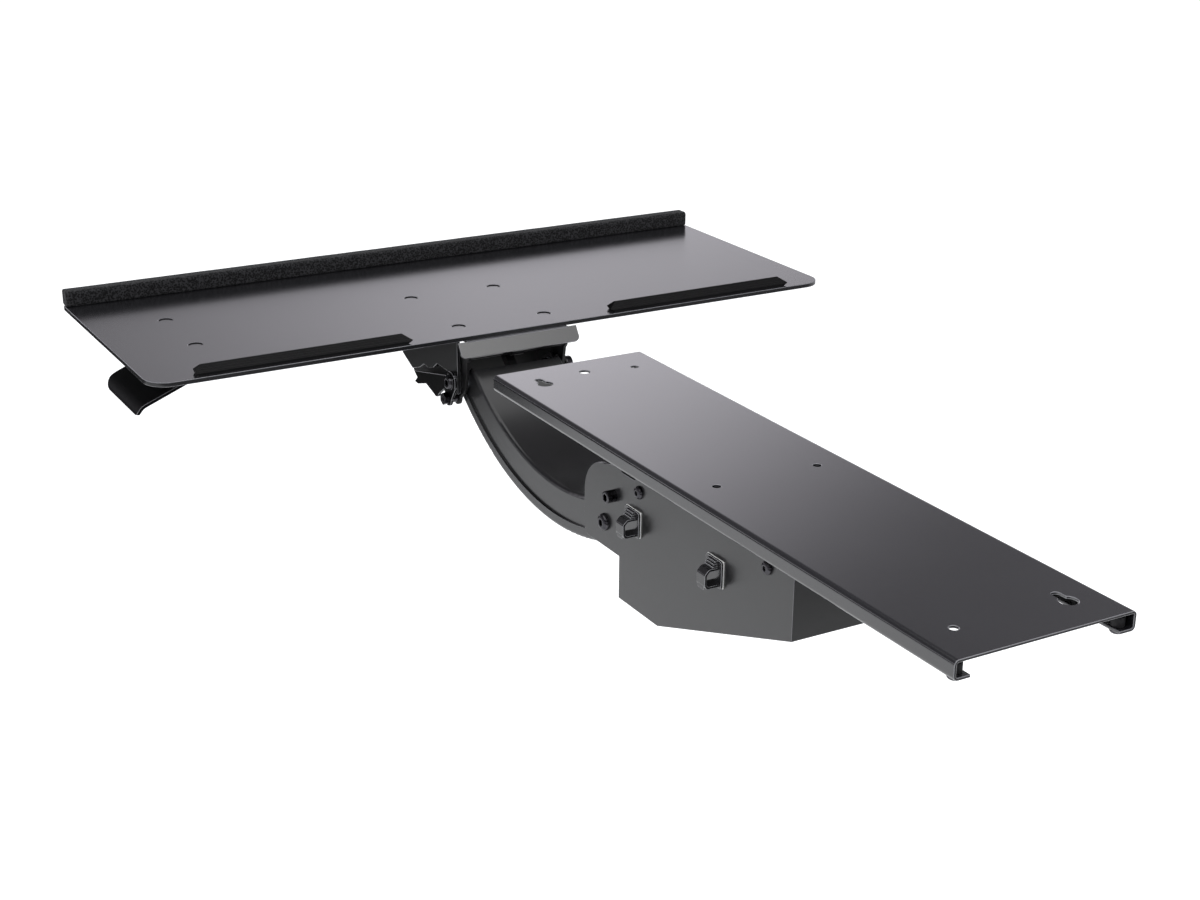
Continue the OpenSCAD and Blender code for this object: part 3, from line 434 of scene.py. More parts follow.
def turn(
    mesh: bmesh.types.BMesh, rings: Sequence[Ring], start: Vector, axis: Vector, close: bool = True
) -> None:
    """Turns a piece on a straight axis.

    Args:
        mesh: The mesh that gets the faces.
        rings: The rings in order, in millimetres.
        start: Where the axis starts, in metres.
        axis: The axis' direction.
        close: Whether both ends get a face.
    """
    along = axis.normalized()
    side = along.orthogonal().normalized()
    up = along.cross(side)
    points = []
    for ring in rings:
        row = []
        for k in range(TURN_STEPS):
            angle = 2 * math.pi * k / TURN_STEPS
            out = side * math.cos(angle) + up * math.sin(angle)
            row.append(start + along * ring.along * MM + out * ring.radius(angle) * MM)
        points.append(row)
    loft(mesh, points, close)


def prism(
    mesh: bmesh.types.BMesh, outline: Sequence[tuple[float, float]], place: Callable[..., Vector],
    start: float, end: float,
) -> None:  # fmt: skip
    """Draws a flat outline as a bar.

    Args:
        mesh: The mesh that gets the faces.
        outline: The outline's points in millimetres.
        place: Turns an outline point and a place along the bar into a point in metres.
        start: Where the bar starts, in millimetres.
        end: Where it ends.
    """
    loft(mesh, [[place(a, b, s) for a, b in outline] for s in (start, end)])


def rounded(
    corners: Sequence[tuple[float, float, float]], steps: int = 5
) -> list[tuple[float, float]]:
    """Rounds the corners of a closed outline.

    Args:
        corners: Points with the radius wanted at each.
        steps: The number of points on each round.

    Returns:
        The rounded outline.
    """
    made = []
    count = len(corners)
    for i, (x, y, r) in enumerate(corners):
        here = Vector((x, y))
        before = Vector(corners[i - 1][:2]) - here
        after = Vector(corners[(i + 1) % count][:2]) - here
        if r <= 0:
            made.append((x, y))
            continue
        half = before.angle(after) / 2
        reach = min(r / math.tan(half), before.length * SIDE_SHARE, after.length * SIDE_SHARE)
        a = here + before.normalized() * reach
        b = here + after.normalized() * reach
        for k in range(steps + 1):
            t = k / steps
            point = a * (1 - t) ** 2 + here * 2 * t * (1 - t) + b * t**2
            made.append((point.x, point.y))
    return made


def round_rims(
    piece: bpy.types.Object, width_mm: float, finish: Finish | None = None, curved: bool = False
) -> None:
    """Rounds the sharp rims of a piece and evens its shading.

    Args:
        piece: The object.
        width_mm: The width of the rounding.
        finish: The finish of the rims, where it isn't the piece's own: a lighter copy that paints a
            highlight along them.
        curved: Whether the rims are so finely curved that the width must give way.
    """
    weld = piece.modifiers.new("weld", "WELD")
    weld.merge_threshold = WELD_MM * MM
    flat = piece.modifiers.new("flat", "DECIMATE")
    flat.decimate_type = "DISSOLVE"
    flat.angle_limit = FLAT_ANGLE
    if width_mm > 0:
        rim = piece.modifiers.new("rim", "BEVEL")
        rim.width = width_mm * MM
        rim.segments = RIM_STEPS
        rim.limit_method = "ANGLE"
        rim.angle_limit = RIM_ANGLE
        rim.use_clamp_overlap = curved
        rim.miter_outer = "MITER_ARC"
        # The rims get the lighter rim finish: a painted highlight along the edges.
        if finish is not None:
            piece.data.materials.append(finish.material())
            rim.material = len(piece.data.materials) - 1
    shade = piece.modifiers.new("shade", "WEIGHTED_NORMAL")
    shade.keep_sharp = True
    shade.weight = 100


# Fasteners and other turned pieces


@dataclass(frozen=True)
class Screw:
    """A fastener with a plain shank and a head with a six-sided recess. Millimetres.

    The head's foot goes by heights over its underside and its crown by depths below its top,
    each with what the radius lacks there. A head without a crown is domed.
    """

    shank_r: float
    head_h: float
    key_r: float
    key_depth: float
    foot: Pairs = ((0.0, 0.15), (0.25, 0.0))
    crown: Pairs = ()
    dome_steps: int = 7

    def rings(self, whole: float, r: float) -> list[Ring]:
        """Gives the screw's rings.

        Args:
            whole: The screw's whole length.
            r: The largest radius of its head.

        Returns:
            The rings from the shank's end to the recess, whose middle two are six-sided.
        """
        under, shank, key = whole - self.head_h, self.shank_r, self.key_r
        head = [Ring(under + up, r - less) for up, less in self.foot]
        head += [Ring(whole - down, r - less) for down, less in self.crown]
        if not self.crown:
            lip, flat = self.foot[-1][0], key * 1.35
            for k in range(1, self.dome_steps + 1):
                a = math.pi / 2 * k / self.dome_steps
                rise = (self.head_h - lip) * math.sin(a)
                head.append(Ring(under + lip + rise, flat + (r - flat) * math.cos(a)))
        mouth, floor = key * 1.06, whole - self.key_depth
        return [
            Ring(0, shank * 0.75), Ring(0.5, shank), Ring(under, shank), *head,
            Ring(whole, mouth), Ring(whole - 0.15, mouth, key), Ring(floor, mouth, key),
            Ring(floor - 0.5, key * 0.3),
        ]  # fmt: skip


CAP_FOOT: Pairs = ((0.0, 0.2), (0.2, 0.0))
CAP_CROWN: Pairs = ((0.6, 0.0), (0.15, 0.35), (0.0, 0.75))
WASHER_FOOT: Pairs = (*CAP_FOOT, (1.0, 0.0), (1.2, 0.3), (1.2, 1.1))
WASHER_CROWN: Pairs = ((0.8, 1.3), (0.2, 1.7), (0.0, 2.4))


@dataclass(frozen=True)
class Nut:
    """A six-sided nut with chamfered corners and an open bore. Millimetres."""

    corner_r: float
    bore_r: float

    def rings(self, height: float, _: float) -> list[Ring]:
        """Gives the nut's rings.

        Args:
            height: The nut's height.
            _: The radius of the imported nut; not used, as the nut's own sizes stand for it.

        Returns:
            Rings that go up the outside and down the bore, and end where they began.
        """
        corner, bore = self.corner_r, self.bore_r
        face_r = corner * math.cos(math.pi / 6) * 0.98
        fall, lip, mouth = corner * 0.1, 0.3, bore + 0.4
        return [
            Ring(lip, bore), Ring(0, mouth), Ring(0, face_r), Ring(fall, corner, corner),
            Ring(height - fall, corner, corner), Ring(height, face_r), Ring(height, mouth),
            Ring(height - lip, bore), Ring(lip, bore),
        ]  # fmt: skip


SWIVEL_NUT = Nut(10.0, 6.0)
PIVOT_NUT = Nut(7.4, 4.0)
TRAY_NUT = Nut(5.0, 2.5)


def collar_rings(height: float, outer_r: float, bore_r: float, rim: float = 0.3) -> list[Ring]:
    """Gives the rings of a plain washer, bush or sleeve with rounded rims.

    Args:
        height: The piece's height in millimetres.
        outer_r: Its outer radius.
        bore_r: The radius of its bore.
        rim: The width of the rounded rims.

    Returns:
        Rings that go up the outside and down the bore, and end where they began.
    """
    round_in = rim * 0.3
    return [
        Ring(rim, bore_r), Ring(0, bore_r + rim), Ring(0, outer_r - rim),
        Ring(round_in, outer_r - round_in), Ring(rim, outer_r), Ring(height - rim, outer_r),
        Ring(height - round_in, outer_r - round_in), Ring(height, outer_r - rim),
        Ring(height, bore_r + rim), Ring(height - rim, bore_r), Ring(rim, bore_r),
    ]  # fmt: skip


def flush_bolt_rings(whole: float, r: float) -> list[Ring]:
    """Gives the rings of a flat bolt whose dished head fills a shallow recess of the board.

    Args:
        whole: The bolt's whole length in millimetres.
        r: The radius of its head.

    Returns:
        The rings from the shank's end to the middle of the dish.
    """
    shank_r, head_h = 2.5, 0.8
    return [
        Ring(0, 1.9), Ring(0.5, shank_r), Ring(whole - head_h, shank_r),
        Ring(whole - head_h, r), Ring(whole - 0.1, r + 0.1), Ring(whole - 0.02, r + 0.85),
        Ring(whole + 0.06, r + 0.8), Ring(whole + 0.06, r - 0.3),
        Ring(whole - 0.7, r - 0.35), Ring(whole - 0.7, 0.6),
    ]  # fmt: skip


class Facing(Enum):
    """Which way a turned piece's axis runs, from its shank's end to its head."""

    UP = (0, 0, 1)
    DOWN = (0, 0, -1)
    LENGTHWISE = (1, 0, 0)
    OUTWARD = (0, 0, 0)

    def axis(self, block: Block) -> Vector:
        """The axis for one solid: OUTWARD is along X, away from the middle plane."""
        outward = (1 if block.centre.x > 0 else -1, 0, 0)
        return Vector(self.value if any(self.value) else outward)


# Sub-assemblies


@dataclass
class SubAssembly:
    """A group of pieces that is dressed and modelled together."""

    nodes: dict[str, bpy.types.Object]
    owner: dict[str, str]
    slots: dict[str, str]
    made: list[str] = field(default_factory=list)

    def dress(self, node: str, finish: Finish, rim_mm: float = 0.3, curved: bool = False) -> None:
        """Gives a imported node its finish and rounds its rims.

        Args:
            node: The node's name.
            finish: What the node is made of.
            rim_mm: The width of the rounded rims.
            curved: Whether its rims are finely curved.
        """
        piece = self.nodes[node]
        for place in piece.material_slots:
            place.material = finish.material()
        round_rims(piece, rim_mm, finish.rim, curved)
        self.made.append(node)

    def stand_in(
        self, name: str, mesh: bmesh.types.BMesh, finish: Finish, node: str,
        rim_mm: float = 0.0, smooth: float = SMOOTH_ANGLE,
    ) -> bpy.types.Object:  # fmt: skip
        """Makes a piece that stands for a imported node.

        Args:
            name: The piece's name.
            mesh: The piece's faces, which are used up.
            finish: What the piece is made of.
            node: The node that it stands for.
            rim_mm: The width of the rounded rims, or 0 for none.
            smooth: The angle over which an edge stays sharp.

        Returns:
            The piece.
        """
        bmesh.ops.recalc_face_normals(mesh, faces=mesh.faces)
        data = bpy.data.meshes.new(name)
        mesh.to_mesh(data)
        mesh.free()
        data.shade_smooth()
        data.set_sharp_from_angle(angle=smooth)
        piece = put(name, data)
        data.materials.append(finish.material())
        if rim_mm > 0:
            data.set_sharp_from_angle(angle=math.pi)
            round_rims(piece, rim_mm, finish.rim)
        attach(piece, self.owner[node])
        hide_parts(node)
        self.made.append(name)
        return piece

    def turned(
        self, node: str, name: str, finish: Finish, facing: Facing,
        rings: Callable[[float, float], Sequence[Ring]], close: bool = True,
    ) -> None:
        """Turns a piece for each solid of a node and joins them in one stand-in.

        Args:
            node: The node that they stand for.
            name: The new piece's name.
            finish: What they are made of.
            facing: Which way their axes run.
            rings: Gives the rings for a solid's length and radius in millimetres.
            close: Whether their ends get a face.
        """
        mesh = bmesh.new()
        for block in solids_of(self.nodes[node]):
            axis = facing.axis(block)
            length = abs(block.size.dot(axis))
            r = (block.size.x if axis.z else block.size.z) / 2
            start = block.centre - axis * length / 2
            turn(mesh, rings(length / MM, r / MM), start, axis, close)
        self.stand_in(name, mesh, finish, node)


@dataclass
class SlideTrack(SubAssembly):
    """The channel on the desk with its end stops."""

    stop_bolt: Screw = Screw(shank_r=2.5, head_h=3.0, key_r=1.7, key_depth=1.2)
    sleeve_play: float = 0.05
    sleeve_rim: float = 0.6

    def sleeve_rings(self, height: float, r: float) -> list[Ring]:
        """The rings of a rubber sleeve round a stop bolt."""
        return collar_rings(height, r, self.stop_bolt.shank_r + self.sleeve_play, self.sleeve_rim)

    def build(self) -> None:
        """Dresses the channel and turns the stop bolts and their sleeves."""
        self.dress("track", POWDER_COAT_TRACK, 0.5)
        self.turned("stop_bolts", "stop_bolt_set", BLACK_OXIDE, Facing.DOWN, self.stop_bolt.rings)
        self.turned("stop_sleeves", "stop_sleeve_set", NITRILE, Facing.UP, self.sleeve_rings, False)


@dataclass
class Carriage(SubAssembly):
    """The plate that runs in the channel, with the swivel."""

    def build(self) -> None:
        """Dresses the plate, its glides and rivets, and the swivel."""
        self.dress("carriage_plate", POWDER_COAT, 0.3)
        self.dress("carriage_glides", ACETAL, 0.25)
        self.dress("swivel_washer", ACETAL, 0.2)
        self.dress("swivel_stud", ZINC_PLATE, 0.3)
        self.dress("glide_rivets", ZINC_PLATE, 0.2)
        self.turned(
            "swivel_nut", "swivel_nut_turned", ZINC_PLATE, Facing.UP, SWIVEL_NUT.rings, False
        )


@dataclass
class CableClip:
    """An adhesive clip: a plate with a looped band and a ribbed tongue. Millimetres."""

    at: Vector
    side: float
    plate_t: float = 1.6
    corner_r: float = 2.2
    band_w: float = 11.0
    band_h: float = 15.0
    band_out: float = 12.0
    wall: float = 1.8
    low: float = 3.0
    ribs: int = 3
    rib_gap: float = 1.9
    rib_t: float = 1.1
    rib_out: float = 6.2

    def draw(self, mesh: bmesh.types.BMesh) -> None:
        """Draws the clip with its plate's back at the place that it has.

        Args:
            mesh: The mesh that gets the faces.
        """
        at = self.at / MM

        def on_plate(a: float, b: float, s: float) -> Vector:
            """A point of the plate's outline at a depth."""
            return Vector((at.x + s, at.y + a, at.z + b)) * MM

        def across(a: float, b: float, s: float) -> Vector:
            """A point of the band's side outline at a place across it."""
            return Vector((at.x + a, at.y + s, at.z + b)) * MM

        half = self.side / 2
        square = ((-half, -half), (half, -half), (half, half), (-half, half))
        corners = [(y, z, self.corner_r) for y, z in square]
        prism(mesh, rounded(corners), on_plate, 0, self.plate_t)
        low = -self.low - self.band_h / 2
        high = low + self.band_h
        out, wall = self.band_out, self.wall
        foot = self.plate_t - 0.6
        band = rounded(
            [
                (foot, low, 0.0), (out - 1.5, low, 2.5), (out, low + 3.0, 2.5),
                (out, high - 3.5, 3.0), (out - 3.5, high, 3.0), (foot, high, 0.0),
                (foot, high - wall, 0.0), (out - 4.2, high - wall, 2.0),
                (out - wall, high - 4.4, 2.0), (out - wall, low + wall + 1.6, 1.5),
                (out - wall - 1.4, low + wall, 1.5), (foot, low + wall, 0.0),
            ],
            4,
        )  # fmt: skip
        edge = self.band_w / 2
        prism(mesh, band, across, -edge, edge)
        sill = [(out - 0.4, low - 0.3), (out, low - 0.3), (out, low + 3.2), (out - 0.4, low + 3.2)]
        prism(mesh, sill, across, 1.5 - edge, edge - 1.5)
        foot += 0.1
        for i in range(self.ribs):
            z = high + 0.4 + self.rib_gap * i
            top, tip = z + self.rib_t, self.rib_out - i
            rib = [(foot, z, 0.0), (tip, z, 0.4), (tip - 0.6, top, 0.4), (foot, top, 0.0)]
            prism(mesh, rounded(rib, 2), across, -edge, edge)


@dataclass
class SwivelBase(SubAssembly):
    """The frame below the swivel with its cover, screws, cable clips and lower pivots."""

    cover_screw: Screw = Screw(2.5, 3.2, 1.9, 1.4)
    pivot_bolt: Screw = Screw(4.0, 4.2, 2.9, 2.2)
    link_screw: Screw = Screw(3.0, 8.5, 2.9, 3.2, CAP_FOOT, CAP_CROWN)

    def build(self) -> None:
        """Dresses frame and cover and models what is screwed and stuck to them."""
        self.dress("base_frame", POWDER_COAT, 0.35)
        self.dress("cover", POWDER_COAT, 0.3)
        for node, name, screw in (
            ("cover_screws", "cover_screw_set", self.cover_screw),
            ("base_pivot_bolts", "lower_pivot_bolt_set", self.pivot_bolt),
            ("link_screws", "link_cap_screw_set", self.link_screw),
        ):
            self.turned(node, name, BLACK_OXIDE, Facing.OUTWARD, screw.rings)
        self.dress("link_axle", ZINC_PLATE, 0.2)
        self.dress("base_pivot_spacers", ZINC_PLATE, 0.2)
        self.turned(
            "base_pivot_nuts", "lower_pivot_nut_set", ZINC_PLATE, Facing.LENGTHWISE,
            PIVOT_NUT.rings, False,
        )  # fmt: skip
        for node in ("cable_clip_front", "cable_clip_rear"):
            low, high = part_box(node)
            mesh = bmesh.new()
            back = Vector((low.x, (low.y + high.y) / 2, (low.z + high.z) / 2))
            CableClip(back, (high.z - low.z) / MM).draw(mesh)
            self.stand_in(node + "_moulded", mesh, MOULDED_NYLON, node, 0.25)
        self.dress("clip_pads", FOAM_TAPE, 0.15)


@dataclass
class LiftArm(SubAssembly):
    """The curved arm of two shells with the bar inside it."""

    def build(self) -> None:
        """Dresses the shells, the bushes and the bar."""
        self.dress("arm_inner_shell", POWDER_COAT, 0.0)
        self.dress("arm_outer_shell", POWDER_COAT, 0.35, True)
        self.dress("arm_bushes", ZINC_PLATE, 0.2)
        # The control link is drawn near black as painted shade, since it sits in shade inside the
        # head.
        self.dress("control_link", POWDER_COAT_PAINTED_SHADE, 0.3)


@dataclass
class TiltHead(SubAssembly):
    """The clevis at the arm's head, the tilt pivot and the bracket below the tray."""

    right_bolt: Screw = Screw(4.0, 4.0, 3.0, 2.4, WASHER_FOOT, WASHER_CROWN)
    left_bolt: Screw = replace(right_bolt, head_h=7.5)

    def head_bolts(self) -> None:
        """Turns the tilt pivot's two bolts, of which the left one has the taller head."""
        mesh = bmesh.new()
        for block in solids_of(self.nodes["head_bolts"]):
            axis = Facing.OUTWARD.axis(block)
            screw = self.right_bolt if axis.x > 0 else self.left_bolt
            rings = screw.rings(block.size.x / MM, block.size.z / MM / 2)
            turn(mesh, rings, block.centre - axis * block.size.x / 2, axis)
        self.stand_in("head_bolt_set", mesh, BLACK_OXIDE, "head_bolts")

    def build(self) -> None:
        """Dresses the plates and turns the fasteners."""
        # The knuckle, its pin and the spacers get the darker coat: painted shade, as they sit in
        # shade under the board.
        self.dress("knuckle", POWDER_COAT_PAINTED_SHADE, 0.35, True)
        self.dress("knuckle_pin", POWDER_COAT_PAINTED_SHADE, 0.2)
        self.dress("head_spacers", POWDER_COAT_PAINTED_SHADE, 0.2)
        # The lock plate's darker coat is painted shade.
        self.dress("lock_plate", POWDER_COAT_LEVER_PAINTED_SHADE, 0.35)
        self.dress("lock_bolt", BLACK_OXIDE, 0.25)
        self.dress("tray_bracket", POWDER_COAT, 0.35)
        self.head_bolts()
        for node, name, facing, nut in (
            ("head_nuts", "head_nut_set", Facing.LENGTHWISE, PIVOT_NUT),
            ("tray_nuts", "tray_nut_set", Facing.UP, TRAY_NUT),
        ):
            self.turned(node, name, BLACK_OXIDE, facing, nut.rings, False)


@dataclass
class PalmRest:
    """The foam strip over the board's front flange. Lengths are in millimetres."""

    low: Vector
    high: Vector
    slot_half: float = 1.4
    slot_h: float = 12.2
    top_r: float = 2.6
    foot_r: float = 1.4
    bulge: float = 0.3
    end_r: float = 1.6
    end_pull: float = 1.1
    end_steps: tuple[float, ...] = (0.0, 0.1, 0.25, 0.45, 0.7, 1.0)
    station: float = 3.0
    unevenness: float = 0.12
    wave_x: float = 22.0
    wave_yz: float = 9.0

    def section(self) -> list[tuple[float, float]]:
        """Draws the strip's outline with the slot for the flange.

        Returns:
            Points (y, z) about the middle of the strip's foot.
        """
        half = (self.high.y - self.low.y) / MM / 2 - self.bulge
        height = (self.high.z - self.low.z) / MM
        foot, top, slot = self.foot_r, self.top_r, self.slot_half

        def quarter(r: float, z: float, first: float, steps: int) -> list[tuple[float, float]]:
            """A quarter round whose centre is at a height, from its first angle in degrees."""
            angles = [math.radians(first + 90 * k / steps) for k in range(steps + 1)]
            return [(half - r + r * math.cos(a), z + r * math.sin(a)) for a in angles]

        straight = height - foot - top
        rows, slot_rows = 8, 4
        outline = [
            (slot, 0.0),
            *quarter(foot, foot, -90, 4),
            *((half, foot + straight * k / rows) for k in range(1, rows)),
            *quarter(top, height - top, 0, 8),
            *(((half - top) * (1 - k / 3), height) for k in (1, 2)),
        ]
        right = [
            (y + (self.bulge * math.sin(math.pi * z / height) if y > slot + 0.5 else 0.0), z)
            for y, z in outline
        ]
        left = [(-y, z) for y, z in reversed(right)]
        inside = [(-slot, self.slot_h * k / slot_rows) for k in range(1, slot_rows + 1)]
        return [*right, (0.0, height), *left, *inside, *((-y, z) for y, z in reversed(inside))]

    def draw(self, mesh: bmesh.types.BMesh) -> None:
        """Lofts the strip along the board, with soft ends and a slight unevenness.

        Args:
            mesh: The mesh that gets the faces.
        """
        x0, x1 = self.low.x / MM, self.high.x / MM
        mid_y = (self.low.y + self.high.y) / 2 / MM
        mid_z = (self.low.z + self.high.z) / 2 / MM
        half = (self.high.z - self.low.z) / MM / 2
        inset = [self.end_r * k for k in self.end_steps]
        straight = x1 - x0 - 2 * self.end_r
        count = int(straight / self.station)
        section = self.section()
        rings = []
        for x in (
            *(x0 + d for d in inset),
            *(x0 + self.end_r + straight * k / count for k in range(1, count)),
            *(x1 - d for d in reversed(inset)),
        ):
            share = min((x - x0) / self.end_r, (x1 - x) / self.end_r, 1.0)
            pull = self.end_pull * (1 - math.sqrt(max(0.0, 1 - (1 - share) ** 2)))
            ring = []
            for y, z in section:
                wave = Vector((x / self.wave_x, y / self.wave_yz, z / self.wave_yz + 3))
                out = Vector((y, z - half))
                if abs(y) > self.slot_half + 0.01 or z > self.slot_h + 0.01:
                    out -= out.normalized() * (pull + self.unevenness * noise.noise(wave))
                    out.y = max(out.y, -half)
                ring.append(Vector((x, mid_y + out.x, mid_z + out.y)) * MM)
            rings.append(ring)
        loft(mesh, rings)
        caps = [face for face in mesh.faces if len(face.verts) > 4]
        bmesh.ops.triangulate(mesh, faces=caps)


@dataclass
class StopStrip:
    """A ridged ramp at the board's rear edge whose ends come to a low point. Millimetres."""

    low: Vector
    high: Vector
    tip_h: float = 2.5
    foot_in: float = 4.4
    top_in: float = 7.7
    slant: float = 0.2

    def inset(self, y: float, z: float, h: float) -> float:
        """Works out how far the strip's ends are drawn in.

        Args:
            y: The distance from the rear edge.
            z: The height.
            h: The strip's own height.

        Returns:
            The distance from the strip's outermost point.
        """
        low = self.foot_in * (1 - z / self.tip_h)
        high = self.top_in * (z - self.tip_h) / (h - self.tip_h)
        return max(low, high, self.slant * y)

    def draw(self, mesh: bmesh.types.BMesh) -> None:
        """Draws the strip.

        Args:
            mesh: The mesh that gets the faces.
        """
        size = (self.high - self.low) / MM
        depth, h, tip = size.y, size.z, self.tip_h
        outline = rounded(
            [
                (0.0, 0.0, 0.0), (0.0, tip - 0.6, 0.4), (0.35, tip, 0.0), (1.3, 0.38 * h, 0.3),
                (1.7, 0.36 * h, 0.15), (2.2, 0.52 * h, 0.3), (3.3, 0.58 * h, 0.3),
                (3.7, 0.56 * h, 0.15), (4.2, 0.74 * h, 0.3), (5.3, 0.8 * h, 0.3),
                (5.7, 0.78 * h, 0.15), (6.2, 0.97 * h, 0.4), (7.4, h, 0.4), (8.4, 0.99 * h, 0.4),
                (depth, 0.4 * h, 0.5), (depth, tip, 0.0), (depth, 0.0, 0.0),
            ],
            2,
        )  # fmt: skip
        y1, z0 = self.high.y / MM, self.low.z / MM
        ends = []
        for x, side in ((self.low.x / MM, 1), (self.high.x / MM, -1)):
            drawn_in = [x + side * self.inset(y, z, h) for y, z in outline]
            ends.append([Vector((a, y1 - y, z0 + z)) * MM for a, (y, z) in zip(drawn_in, outline)])
        loft(mesh, ends)


@dataclass
class Tray(SubAssembly):
    """The board with its bolts, stop strips and palm rest."""

    def build(self) -> None:
        """Dresses the board and models what is fixed to it."""
        self.dress("tray_board", POWDER_COAT_BOARD, 0.45)
        self.turned("tray_bolts", "tray_bolt_set", POWDER_COAT_BOARD, Facing.UP, flush_bolt_rings)
        for node in ("stop_strip_right", "stop_strip_left"):
            mesh = bmesh.new()
            StopStrip(*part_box(node)).draw(mesh)
            self.stand_in(node + "_ribbed", mesh, SOFT_VINYL, node)
        mesh = bmesh.new()
        PalmRest(*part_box("palm_rest")).draw(mesh)
        rest = self.stand_in("palm_rest_foam", mesh, NEOPRENE_FOAM, "palm_rest", smooth=SOFT_ANGLE)


@dataclass
class ReleasePaddle(SubAssembly):
    """The hinged paddle below the board's right end. Lengths are in millimetres."""

    slope: float = math.radians(22)
    straight: float = 61.0
    grip_start: float = 14.0
    width: float = 95.0
    eye_w: float = 52.0
    thick: float = 3.0
    curl_r: float = 12.0
    curl: float = math.radians(55)
    front_corner_r: float = 17.0
    rear_corner_r: float = 5.0
    lead: float = 4.0
    # The corners' rounding stops this far short of the end, where it would be square to it.
    tip_gap: float = 0.02
    columns: int = 18
    flat_rows: int = 12
    curl_rows: int = 14
    pin_r: float = 2.55
    eye_r: float = 5.0
    tongue_start: float = 2.0

    def profile(self) -> list[tuple[float, float, float, float]]:
        """Follows the paddle's middle plane from the hinge to the curl's end.

        Returns:
            Points as (x, z, slope, way along the plane).
        """
        grip = self.straight - self.grip_start
        flat = [self.grip_start + grip * k / self.flat_rows for k in range(self.flat_rows + 1)]
        points = [(x, 0.0, 0.0, x) for x in flat]
        for a in (self.curl * k / self.curl_rows for k in range(1, self.curl_rows + 1)):
            x = self.straight + self.curl_r * math.sin(a)
            points.append((x, self.curl_r * (math.cos(a) - 1), a, self.straight + self.curl_r * a))
        return points

    def edge(self, way: float, end: float, side: int) -> float:
        """Places one side edge, with its corners rounded.

        Args:
            way: The way along the paddle.
            end: The way at which the paddle ends.
            side: -1 for the front edge, 1 for the rear one.

        Returns:
            The edge's place across the paddle, from its middle.
        """
        tip_r = self.front_corner_r if side < 0 else self.rear_corner_r
        half = self.width / 2
        root = self.grip_start + self.lead
        for r, over in ((tip_r, way - (end - tip_r)), (self.lead, root - way)):
            if over > 0:
                half += math.sqrt(max(0.0, r * r - over * over)) - r
        return side * half

    def place(self, x: float, y: float, z: float, hinge: Vector) -> Vector:
        """Turns a point of the level paddle into one at its slope on the hinge."""
        c, s = math.cos(self.slope), math.sin(self.slope)
        return hinge + Vector((x * c + z * s, y, -x * s + z * c)) * MM

    def plate(self, mesh: bmesh.types.BMesh, hinge: Vector) -> None:
        """Draws the curled grip as a closed plate.

        Args:
            mesh: The mesh that gets the faces.
            hinge: The hinge's middle, in metres.
        """
        profile = self.profile()
        end = profile[-1][3]
        half = self.thick / 2
        rings = []
        for x, z, a, way in profile:
            front, rear = (self.edge(min(way, end - self.tip_gap), end, s) for s in (-1, 1))
            across = [front + (rear - front) * j / self.columns for j in range(self.columns + 1)]
            ring = []
            for row, off in ((across, half), (reversed(across), -half)):
                px, pz = x + off * math.sin(a), z + off * math.cos(a)
                ring += [self.place(px, y, pz, hinge) for y in row]
            rings.append(ring)
        loft(mesh, rings)

    def build(self) -> None:
        """Dresses the hinge and models the paddle."""
        self.dress("paddle_bracket", POWDER_COAT, 0.3)
        self.dress("paddle_pin", ZINC_PLATE, 0.2)
        low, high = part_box("paddle_pin")
        hinge = (low + high) / 2
        grip_low, grip_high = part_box("release_paddle")
        hinge.y = (grip_low.y + grip_high.y) / 2
        mesh = bmesh.new()
        self.plate(mesh, hinge)
        root, half = self.grip_start + self.lead, self.thick / 2
        start = self.tongue_start
        tongue = [(start, -half), (root, -half), (root, half), (start, half)]
        eye = self.eye_w / 2
        prism(mesh, tongue, lambda a, b, s: self.place(a, s, b, hinge), -eye, eye)
        rings = collar_rings(self.eye_w, self.eye_r, self.pin_r)
        turn(mesh, rings, hinge - Vector((0, eye * MM, 0)), Vector((0, 1, 0)), False)
        # The paddle's darker coat is painted shade under the board.
        self.stand_in("release_paddle_formed", mesh, POWDER_COAT_LEVER_PAINTED_SHADE, "release_paddle", 0.35)
        self.turned(
            "paddle_bolts", "paddle_bolt_set", POWDER_COAT_BOARD, Facing.UP, flush_bolt_rings
        )


# Studio


@dataclass(frozen=True)
class Lamp:
    """A soft square lamp, in metres and watts. Gloss may be kept from mirroring it."""

    name: str
    at: tuple[float, float, float]
    size: float
    power: float
    mirrored: bool = True

    def hang(self, aim: Vector) -> None:
        """Hangs the lamp so that it faces a point.

        Args:
            aim: The point.
        """
        data = bpy.data.lights.new(self.name, "AREA")
        data.shape = "SQUARE"
        data.size = self.size
        data.energy = self.power
        made = put(self.name, data)
        made.location = self.at
        made.visible_glossy = self.mirrored
        made.rotation_mode = "QUATERNION"
        made.rotation_quaternion = (aim - Vector(self.at)).to_track_quat("-Z", "Y")


